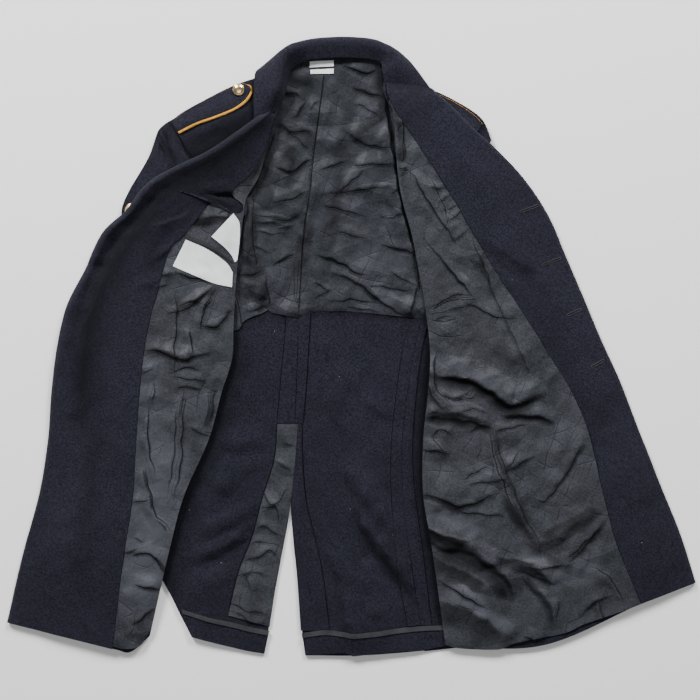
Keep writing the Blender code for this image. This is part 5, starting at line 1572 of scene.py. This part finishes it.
LINING_FOLDS_LEFT = (
    Fold(3.4, 2.4, 9.5, 0.2, ((61, 330), (66, 300), (69, 275), (71, 246))),
    Fold(1.4, 7.6, 2.4, 0.2, ((60, 296), (70, 300))),
    Fold(1.6, 9.5, 2.4, 0.2, ((61, 236), (76, 240))),
    Fold(1.6, 9.5, 2.4, 0.2, ((63, 229), (78, 240))),
    Fold(2.6, 9.5, 4, 0.4, ((78, 240), (100, 202), (122, 168), (144, 133))),
    Fold(1.8, 9.5, 2.2, 0.1, ((121, 115), (140, 93), (162, 70))),
    Fold(1.8, 9.5, 2.2, 0.1, ((94, 149), (120, 118), (146, 88), (168, 63))),
    Fold(1.7, 7.6, 2.4, 0.2, ((104, 213), (121, 209))),
    Fold(1.9, 7.6, 2.4, 0.2, ((112, 192), (134, 204))),
    Fold(1.7, 7.6, 2.4, 0.2, ((127, 182), (144, 190))),
    Fold(2.0, 7.6, 2.4, 0.2, ((126, 167), (138, 176), (152, 184))),
    Fold(1.9, 7.6, 2.4, 0.2, ((137, 142), (148, 152), (158, 160))),
    Fold(2.6, 3, 9.5, 0.3, ((102, 228), (116, 198), (130, 163))),
    Fold(2.8, 4, 9.5, 0.3, ((156, 150), (166, 124), (174, 108), (180, 90), (190, 66))),
    Fold(1.9, 11.4, 2.6, 0.2, ((101, 51), (135, 69), (168, 70))),
    Fold(1.8, 9.5, 2.4, 0.2, ((103, 45), (132, 50), (168, 62))),
    Fold(1.6, 9.5, 2.4, 0.2, ((106, 36), (120, 40), (138, 43))),
    Fold(2.4, 17.1, 4, 0.3, ((146, 66), (170, 52), (196, 42), (222, 40))),
    Fold(3.0, 23.8, 15.3, 0.6, ((186, 24), (206, 4), (224, -16), (244, -38))),
    Fold(2.6, 20.4, 20.4, 0.7, ((226, 30), (244, 6), (262, -12))),
    Fold(8.0, 26, 7, 0.1, ((96, -34), (130, -37), (162, -43), (189, -58), (205, -70), (218, -74),
                           (234, -66), (262, -56))),
    Fold(5.5, 3, 12, 0.2, ((111, -2), (108, -38), (115, -60), (134, -80))),
    Fold(2.2, 9.5, 2.6, 0.2, ((111, -42), (120, -60), (136, -67), (152, -66))),
    Fold(2.4, 9.5, 2.6, 0.2, ((103, -46), (112, -70), (126, -81))),
    Fold(2.2, 7.6, 2.4, 0.2, ((133, -70), (150, -62), (166, -55))),
    Fold(2.0, 7.6, 2.4, 0.2, ((138, -72), (158, -66), (168, -62))),
    Fold(1.8, 11.4, 2.6, 0.2, ((98, -88), (122, -84))),
    Fold(2.2, 11.4, 2.6, 0.2, ((138, -88), (156, -81), (184, -86))),
    Fold(4.6, 16, 7.5, 0.1, ((98, -94), (120, -86), (150, -88), (176, -97), (190, -104))),
    Fold(4.6, 15.2, 4.5, 0.2, ((200, -91), (228, -88), (252, -90), (272, -97))),
    Fold(1.8, 9.5, 2.6, 0.2, ((152, -112), (178, -101))),
    Fold(2.2, 11.4, 2.8, 0.2, ((188, -112), (210, -106), (236, -100))),
    Fold(2.6, 3, 9.5, 0.2, ((103, -116), (116, -134), (130, -147))),
    Fold(2.4, 11.4, 3, 0.3, ((106, -121), (118, -108), (137, -115))),
    Fold(2.8, 13.3, 3.5, 0.3, ((92, -133), (115, -137), (134, -141))),
    Fold(4.2, 3.2, 9.5, 0.2, ((187, -92), (192, -120), (198, -150), (206, -170), (216, -195),
                            (226, -220), (241, -245), (247, -258), (253, -294))),
    Fold(3.0, 3, 7.6, 0.2, ((180, -98), (184, -122), (190, -152), (198, -176), (208, -200),
                          (219, -226), (232, -248))),
    Fold(2.6, 11.4, 3, 0.2, ((203, -167), (224, -153), (246, -144))),
    Fold(2.2, 9.5, 2.8, 0.2, ((200, -166), (216, -147), (224, -134))),
    Fold(2.2, 13.3, 3, 0.3, ((146, -176), (165, -164), (184, -157))),
    Fold(2.2, 11.4, 3, 0.3, ((152, -180), (185, -178), (208, -174))),
    Fold(3.4, 17.1, 4, 0.3, ((92, -196), (115, -198), (140, -209), (166, -204), (198, -188))),
    Fold(2.4, 15.2, 3.5, 0.3, ((138, -216), (175, -220), (208, -224))),
    Fold(6.0, 24, 12, 0.1, ((90, -234), (112, -246), (136, -256), (162, -263), (184, -269))),
    Fold(4.5, 13.3, 5, 0.3, ((100, -248), (118, -264), (152, -267))),
    Fold(5.5, 18, 9, 0.1, ((148, -254), (164, -268), (182, -283), (200, -297), (211, -308),
                            (217, -338))),
    Fold(5.0, 15, 8, 0.1, ((210, -287), (236, -293), (256, -297), (268, -318))),
    Fold(3.5, 10, 3, 0.1, ((114, -307), (140, -322), (162, -336), (184, -348))),
    Fold(3.6, 18, 12, 0.1, ((234, -264), (250, -259), (273, -250), (299, -231), (329, -208),
                            (342, -192))),
    Fold(2.6, 8, 3, 0.1, ((284, -288), (298, -276), (316, -256), (338, -224))),
    Fold(3.4, 11.4, 4, 0.3, ((244, -198), (256, -202), (268, -190), (278, -174), (292, -154),
                          (306, -124))),
    Fold(2.6, 15.2, 3, 0.3, ((217, -286), (245, -292), (266, -290), (294, -287))),
    Fold(3.4, 10, 6, 0.1, ((220, -292), (240, -316), (256, -330), (266, -346), (275, -376))),
    Fold(2.4, 11.4, 3, 0.3, ((230, -297), (255, -308), (272, -314))),
    Fold(2.2, 4, 9.5, 0.3, ((276, -333), (271, -364))),
    Fold(3.2, 11.4, 4, 0.3, ((283, -282), (308, -257), (333, -234))),
    Fold(2.8, 4, 9.5, 0.3, ((314, -292), (336, -303), (350, -318), (362, -342))),
    Fold(2.6, 9.5, 3, 0.3, ((303, -357), (318, -341), (330, -334), (343, -328))),
    Fold(2.0, 4, 4, 0.3, ((327, -337), (335, -364))),
    Fold(4.5, 22, 26, 0.08, ((104, -324), (124, -335), (156, -351), (186, -366), (212, -382),
                              (240, -396))),
    Fold(2.6, 13.3, 3, 0.3, ((228, -382), (258, -392))),
    Fold(3.0, 27.2, 27.2, 0.8, ((140, 20), (160, -8), (176, -30))),
    Fold(3.0, 30.6, 23.8, 0.8, ((118, -160), (130, -190), (128, -222))),
    Fold(3.0, 30.6, 30.6, 0.8, ((280, -100), (296, -140), (300, -190), (318, -240))),
    Fold(2.4, 23.8, 23.8, 0.8, ((180, -300), (176, -330), (186, -364))),
)
LINING_FOLDS_RIGHT = (
    Fold(1.8, 9.5, 2.6, 0.2, ((-254, 94), (-235, 101))),
    Fold(2.8, 13.3, 3, 0.2, ((-238, 102), (-215, 95), (-195, 92), (-178, 88))),
    Fold(1.8, 9.5, 2.6, 0.2, ((-261, 82), (-242, 84))),
    Fold(3.2, 11.4, 3.5, 0.2, ((-230, 56), (-210, 63), (-195, 70), (-180, 84))),
    Fold(2.6, 11.4, 3, 0.2, ((-247, 46), (-225, 49), (-205, 62), (-188, 82))),
    Fold(2.2, 9.5, 3, 0.2, ((-201, 44), (-190, 64), (-177, 82))),
    Fold(3.4, 13.3, 3.5, 0.2, ((-198, 29), (-180, 28), (-169, 40), (-157, 52))),
    Fold(3.0, 9.5, 4, 0.3, ((-201, 18), (-198, 45), (-184, 68))),
    Fold(3.2, 4, 9.5, 0.3, ((-216, 26), (-214, 8), (-209, -12))),
    Fold(4.4, 17.1, 3.5, 0.2, ((-278, -3), (-255, -3), (-245, -7), (-232, -13), (-215, -14),
                            (-195, -7), (-182, -5))),
    Fold(2.4, 13.3, 3, 0.2, ((-238, -32), (-220, -26), (-198, -28))),
    Fold(1.8, 9.5, 2.8, 0.2, ((-277, -35), (-263, -25))),
    Fold(2.2, 4, 4, 0.2, ((-262, -47), (-265, -74))),
    Fold(2.4, 11.4, 3, 0.2, ((-238, -38), (-210, -41), (-192, -46))),
    Fold(2.4, 11.4, 3, 0.2, ((-232, -53), (-215, -51), (-197, -56))),
    Fold(2.4, 3, 7.6, 0.2, ((-225, -62), (-228, -94))),
    Fold(3.0, 3, 9.5, 0.3, ((-234, 84), (-233, 40), (-235, 0), (-235, -44))),
    Fold(3.2, 3, 7.6, 0.2, ((-221, -56), (-225, -100), (-227, -150), (-237, -204))),
    Fold(2.4, 3, 7.6, 0.2, ((-231, -66), (-234, -110), (-237, -154), (-246, -200))),
    Fold(3.0, 4, 9.5, 0.3, ((-269, -70), (-271, -120), (-261, -176))),
    Fold(3.0, 4, 9.5, 0.3, ((-276, -156), (-269, -190), (-262, -222), (-250, -234), (-236, -250))),
    Fold(2.2, 9.5, 3, 0.2, ((-293, -205), (-267, -200))),
    Fold(1.8, 9.5, 3, 0.2, ((-287, -251), (-275, -258))),
    Fold(2.4, 11.4, 3, 0.2, ((-302, -272), (-283, -264))),
    Fold(3.0, 13.3, 4, 0.3, ((-292, -274), (-270, -271), (-256, -280), (-246, -300))),
    Fold(3.6, 15.2, 4, 0.3, ((-288, -311), (-265, -318), (-252, -321))),
    Fold(3.0, 13.3, 4, 0.3, ((-292, -368), (-275, -354), (-260, -345))),
    Fold(2.2, 9.5, 3, 0.2, ((-214, -104), (-198, -114), (-188, -118))),
    Fold(3.4, 3, 9.5, 0.2, ((-183, -52), (-184, -75), (-190, -104))),
    Fold(2.4, 3, 7.6, 0.2, ((-190, -56), (-191, -80), (-196, -106))),
    Fold(2.6, 23.8, 23.8, 0.8, ((-252, -80), (-250, -130), (-252, -180))),
    Fold(2.8, 23.8, 23.8, 0.8, ((-282, -300), (-286, -340), (-296, -384))),
    Fold(2.4, 20.4, 20.4, 0.8, ((-160, 190), (-170, 160), (-184, 120))),
)
LINING_FOLDS = {"right": LINING_FOLDS_RIGHT, "left": LINING_FOLDS_LEFT}
LINING_EDGES = {
    "right": ((-322, -396), (-300, -401), (-281, -397), (-268, -379)),
    "left": ((122, -394), (143, -400), (187, -402), (203, -400), (216, -394), (245, -387.5),
             (267, -384), (290, -378), (308, -369), (335, -359.5), (354, -353), (388, -340.5)),
}

# The pocket's mouth, and the creases pressed in along the linings' inner edges; all are dented and
# painted dark, as painted shade.
LINING_MARKS = (
    Mark(0.8, 0.7, ((162, 138), (172, 112), (185, 78), (198, 50), (211, 23), (224, -5),
                    (238, -37))),
    Mark(1.0, 0.9, ((107, 49), (133, 62), (166, 63))),
    Mark(0.9, 0.8, ((106, 36), (122, 34), (140, 38))),
    Mark(0.9, 0.8, ((104, 22), (124, 14), (148, 16))),
    Mark(9.0, 1.0, ((-212, 165), (-202, 165), (-192, 165.5), (-182, 168), (-174, 171))),
    Mark(1.2, 1.0, ((-176, 177), (-170, 180.5), (-164, 180), (-161, 176), (-166, 171))),
    Mark(1.0, 0.8, ((62, 238), (70, 236), (76, 234))),
    Mark(1.6, 1.0, ((62, 286), (64, 291), (67, 294))),
    Mark(1.4, 1.0, ((70, 286), (69, 266), (70, 252), (67, 244))),
)

# Painted highlights where the depth is below nothing, on facets of the linings that catch the light,
# and painted shade on the sides of their folds that face away from it.
LINING_PAINTED_SHADING = (
    PaintedShading(10, 16, -0.28, ((90, -196), (116, -214), (146, -232), (176, -240))),
    PaintedShading(10, 8, -0.25, ((112, -284), (136, -304), (160, -322), (182, -338))),
    PaintedShading(10, 10, -0.28, ((222, -268), (240, -276), (262, -284))),
    PaintedShading(9, 9, -0.3, ((114, -326), (150, -338), (186, -356), (216, -378))),
    PaintedShading(20, 20, -0.2, ((250, -310), (300, -300), (340, -282))),
    PaintedShading(14, 6, -0.22, ((110, -22), (140, -26), (170, -44), (196, -58))),
    PaintedShading(42, 42, -0.37, ((-250, -100), (-256, -190), (-268, -270), (-280, -360))),
    PaintedShading(24, 24, -0.12, ((-262, 20), (-264, -60), (-262, -140))),
    PaintedShading(2, 20, 0.5, ((98, -272), (130, -290), (160, -304), (186, -322))),
    PaintedShading(3, 16, 0.7, ((190, -280), (222, -284), (246, -290))),
    PaintedShading(2, 24, 0.45, ((246, -252), (290, -228), (330, -204))),
    PaintedShading(6, 14, 0.7, ((172, -283), (188, -300), (200, -318), (208, -338))),
    PaintedShading(4, 10, 0.6, ((204, -196), (214, -214), (228, -236), (240, -252))),
    PaintedShading(2, 4, 0.4, ((162, 138), (172, 112), (185, 78), (198, 50), (211, 23), (224, -5),
                       (238, -37))),
    PaintedShading(2, 14, 0.9, ((106, -38), (130, -40), (162, -47), (189, -62), (205, -74), (218, -78),
                        (234, -70), (252, -60))),
    PaintedShading(2, 10, 0.9, ((92, -90), (118, -94), (142, -96), (166, -100), (194, -110))),
    PaintedShading(3, 8, 0.7, ((196, -92), (228, -91), (254, -94), (276, -104))),
    PaintedShading(2, 18, 0.85, ((92, -238), (104, -243), (130, -252), (160, -260))),
    PaintedShading(3, 20, 0.7, ((104, -262), (130, -268), (156, -272), (174, -283), (195, -298),
                        (209, -312), (217, -340))),
    PaintedShading(3, 10, 0.5, ((212, -288), (232, -292), (250, -298), (268, -318))),
    PaintedShading(3, 9, 0.5, ((228, -298), (247, -321), (263, -344), (269, -378))),
    PaintedShading(4, 32, 0.5, ((108, -336), (130, -343), (158, -352), (184, -369), (202, -392))),
    PaintedShading(3, 8, 0.4, ((340, -212), (316, -226), (293, -240), (256, -258))),
    PaintedShading(3, 7, 0.35, ((340, -232), (312, -256), (286, -282))),
    PaintedShading(3, 5, 0.35, ((258, -200), (280, -171), (308, -126))),
    PaintedShading(8, 3, 0.4, ((186, -104), (194, -140), (205, -171), (226, -214), (244, -256))),
    PaintedShading(10, 3, 0.35, ((60, 320), (64, 280), (66, 240), (74, 190))),
    PaintedShading(3, 9, 0.4, ((88, -196), (115, -200), (140, -211), (166, -206), (200, -188))),
    PaintedShading(9, 3, 0.42, ((-182, -4), (-215, -13), (-245, -7), (-280, -3))),
    PaintedShading(3, 8, 0.4, ((-240, 50), (-208, 62), (-190, 72), (-176, 88))),
    PaintedShading(3, 8, 0.4, ((-200, 28), (-180, 27), (-168, 38), (-155, 54))),
    PaintedShading(8, 4, 0.4, ((-184, -48), (-186, -78), (-194, -112))),
    PaintedShading(8, 4, 0.35, ((-278, -150), (-269, -190), (-260, -224), (-236, -252))),
    PaintedShading(4, 10, 0.35, ((-296, -276), (-270, -274), (-254, -284), (-242, -304))),
    PaintedShading(3, 10, 0.8, ((-224, 170), (-204, 171), (-190, 172), (-168, 173), (-150, 171))),
    PaintedShading(6, 10, 0.5, ((-96, 330), (-103, 296), (-112, 264), (-120, 244), (-131, 222), (-146, 196))),
)

for side, rows in FRONT_ROWS.items():
    sections = []
    for row in rows:
        facing, lining = np.array(row.facing, float), np.array(row.lining, float)
        start = facing + (lining - facing) / np.linalg.norm(lining - facing) * SEAM_GAP
        sections.append([start, (facing + lining) / 2 - (0, row.bow), lining])
    flat = laid(sections, LINING_CUT, ("front_lining_" + side,))
    flat = hemmed(flat, LINING_EDGES[side], LINING_PULL)
    flat[:, :, 2] += np.maximum(folded(flat, LINING_FOLDS[side]), -LINING_DIP)
    flat[:, :, 2] += uneven(flat, LINING_WAVES)
    shell("front_lining_" + side, flat, LINING, lining_satin,
                          crease_and_shade_marks(flat, LINING_FOLDS[side], LINING_MARKS, LINING_PAINTED_SHADING,
                                  SATIN_FADE))

# An inside pocket in the right front has a narrow satin welt.
WELT_CUT = Cut(step=3, cells=3, ease=3)
POCKET_WELT = (
    Strip((-220, 150), (-217.5, 143.5)),
    Strip((-190, 138.5), (-187, 132)),
    Strip((-160, 117), (-156, 112)),
)
RIGHT_CLOTH = ("front_lining_right_cloth", "facing_right_cloth")
welt_satin = cloth_material("welt_satin", satin, 0.0006, specular=0.25, Crumple=0.4,
                            Deep=(0.008, 0.008, 0.010, 1), Light=(0.022, 0.022, 0.026, 1))
flat = laid(POCKET_WELT, WELT_CUT, RIGHT_CLOTH, LAYER_GAP + LINING)
welt = shell("pocket_welt_right", flat, LINING, welt_satin)

# ------------------------------------------------------------------ the labels
# Two white woven labels are sewn by their edges inside the right front, one across the pocket
# welt and one below it.  They are plain, with no printing.

LABEL_CUT = Cut(step=4, cells=3, ease=3)

CARE_LABEL = (
    Strip((-219, 143), (-236, 108)),
    Strip((-190, 130), (-204, 94)),
    Strip((-166, 113), (-181, 85)),
    Strip((-157, 100), (-158, 80)),
)
NAME_LABEL = (
    Strip((-156, 178), (-185, 147)),
    Strip((-148, 165), (-169, 134)),
    Strip((-148, 141), (-159, 123)),
    Strip((-151, 116), (-154, 113)),
)

for name, rows in (("care_label", CARE_LABEL), ("name_label", NAME_LABEL)):
    flat = laid(rows, LABEL_CUT, RIGHT_CLOTH + (welt.name,), LAYER_GAP + TAPE)
    cloth(name, flat, TAPE, label_white)

# ------------------------------------------------------------------ the buttons
# Domed brass buttons with a roped rim, sewn on by a shank.  One shows on the right strap and
# one past the rolled lapel; the other front buttons lie under it.

FRONT_BUTTON = 23.0
STRAP_BUTTON = 15.5
BUTTON_ROUND = 96
RIM_ROPE = 32           # turns of the rope round the rim
ROPE_DEPTH = 0.018      # as a share of the button's half width
ROPE_SLANT = 1.2

ButtonRing = namedtuple("ButtonRing", "out rise rope")

BUTTON_PROFILE = (
    ButtonRing(0.02, 0.420, 0.0),
    ButtonRing(0.16, 0.414, 0.0),
    ButtonRing(0.32, 0.395, 0.0),
    ButtonRing(0.48, 0.362, 0.0),
    ButtonRing(0.62, 0.318, 0.0),
    ButtonRing(0.74, 0.262, 0.0),
    ButtonRing(0.80, 0.222, 0.0),
    ButtonRing(0.83, 0.190, 0.0),
    ButtonRing(0.86, 0.188, 0.3),
    ButtonRing(0.90, 0.205, 1.0),
    ButtonRing(0.95, 0.195, 1.0),
    ButtonRing(0.99, 0.150, 0.6),
    ButtonRing(1.00, 0.100, 0.2),
    ButtonRing(0.97, 0.040, 0.0),
    ButtonRing(0.90, 0.010, 0.0),
    ButtonRing(0.02, 0.000, 0.0),
)


def brass_material():
    """Gilt brass: polished on top, browner where the polish doesn't reach."""
    material, tree, shader = new_material("gilt_brass")
    coords = place_in(tree)
    stain = noise(tree, coords, scale=240.0, detail=5.0, roughness=0.6)
    share = ranged(tree, stain, 0.35, 0.68)
    colour = mixed(tree, share, (0.90, 0.72, 0.42, 1), (0.62, 0.42, 0.17, 1))
    tree.links.new(colour, shader.inputs["Base Color"])
    tree.links.new(ranged(tree, share, 0.0, 1.0, 0.16, 0.36), shader.inputs["Roughness"])
    shader.inputs["Metallic"].default_value = 1.0
    return material


gilt_brass = brass_material()


def button(node, place, size):
    """A button turned from its profile, standing where its solid stands."""
    low = min(vertex.co.z for vertex in bpy.data.objects[node].data.vertices) / MM
    centre = np.array([*place, low])
    points = []
    for ring in BUTTON_PROFILE:
        for k in range(BUTTON_ROUND):
            angle = 2 * math.pi * k / BUTTON_ROUND
            turn = math.cos(RIM_ROPE * (angle - ring.out * ROPE_SLANT))
            rope = ROPE_DEPTH * ring.rope * turn
            out = size / 2 * ring.out
            rise = size / 2 * (ring.rise + rope)
            points.append(centre + (out * math.cos(angle), out * math.sin(angle), rise))
    faces = [tuple(range(BUTTON_ROUND))]
    for i in range(len(BUTTON_PROFILE) - 1):
        for k in range(BUTTON_ROUND):
            m = (k + 1) % BUTTON_ROUND
            here, there = i * BUTTON_ROUND, (i + 1) * BUTTON_ROUND
            faces.append((here + m, here + k, there + k, there + m))
    last = len(points) - BUTTON_ROUND
    faces.append(tuple(range(last, len(points)))[::-1])
    piece_of(node + "_brass", points, faces, gilt_brass, "brass", node)


FRONT_BUTTON_PLACES = ((-289, 181), (-331, 121), (-359, 50), (-375, -24))

button("strap_button_right", (-149, 342), STRAP_BUTTON)
for number, place in enumerate(FRONT_BUTTON_PLACES, start=1):
    button(f"front_button_{number}", place, FRONT_BUTTON)

# ------------------------------------------------------------------ floor, light and camera
# A plain pale sheet lies under the tunic.  Two wide, soft lights stand beyond the collar,
# with a weak one overhead, and the camera looks straight down.

FLOOR = 6.0
FLOOR_DROP = 0.0004     # keeps the floor clear of the cloth that rests on it
SENSOR = 36
CAMERA_HEIGHT = 2.3
CLOTH_MIDDLE = 0.008    # the height at which the view is VIEW_WIDTH wide
VIEW_WIDTH = 0.931
VIEW_CENTRE = (-0.0013, -0.0033)

floor_mesh = bpy.data.meshes.new("floor")
floor_mesh.from_pydata([(-FLOOR, -FLOOR, 0), (FLOOR, -FLOOR, 0), (FLOOR, FLOOR, 0),
                        (-FLOOR, FLOOR, 0)], [], [(0, 1, 2, 3)])
floor = in_scene("floor", floor_mesh)
floor.location.z = -FLOOR_DROP
pale, _, pale_shader = new_material("pale_floor")
pale_shader.inputs["Base Color"].default_value = (0.88, 0.88, 0.88, 1)
pale_shader.inputs["Roughness"].default_value = 0.9
floor_mesh.materials.append(pale)

Lamp = namedtuple("Lamp", "name place size power")

LAMPS = (
    Lamp("key_left", (-1.75, 2.75, 2.0), 1.1, 235),
    Lamp("key_right", (1.35, 2.95, 2.0), 1.1, 175),
    Lamp("overhead", (0.0, -0.6, 2.9), 2.0, 22),
)

for lamp in LAMPS:
    light = bpy.data.lights.new(lamp.name, "AREA")
    light.energy = lamp.power
    light.size = lamp.size
    holder = in_scene(lamp.name, light)
    holder.location = lamp.place
    holder.rotation_euler = (-Vector(lamp.place)).to_track_quat("-Z", "Y").to_euler()

world = bpy.data.worlds.new("soft_room")
world.use_nodes = True
world.node_tree.nodes["Background"].inputs["Color"].default_value = (0.95, 0.97, 1.0, 1)
world.node_tree.nodes["Background"].inputs["Strength"].default_value = 0.18
bpy.context.scene.world = world

lens = bpy.data.cameras.new("camera")
lens.sensor_width = SENSOR
lens.lens = SENSOR * CAMERA_HEIGHT / VIEW_WIDTH
camera = in_scene("camera", lens)
camera.location = (*VIEW_CENTRE, CAMERA_HEIGHT + CLOTH_MIDDLE)
bpy.context.scene.camera = camera
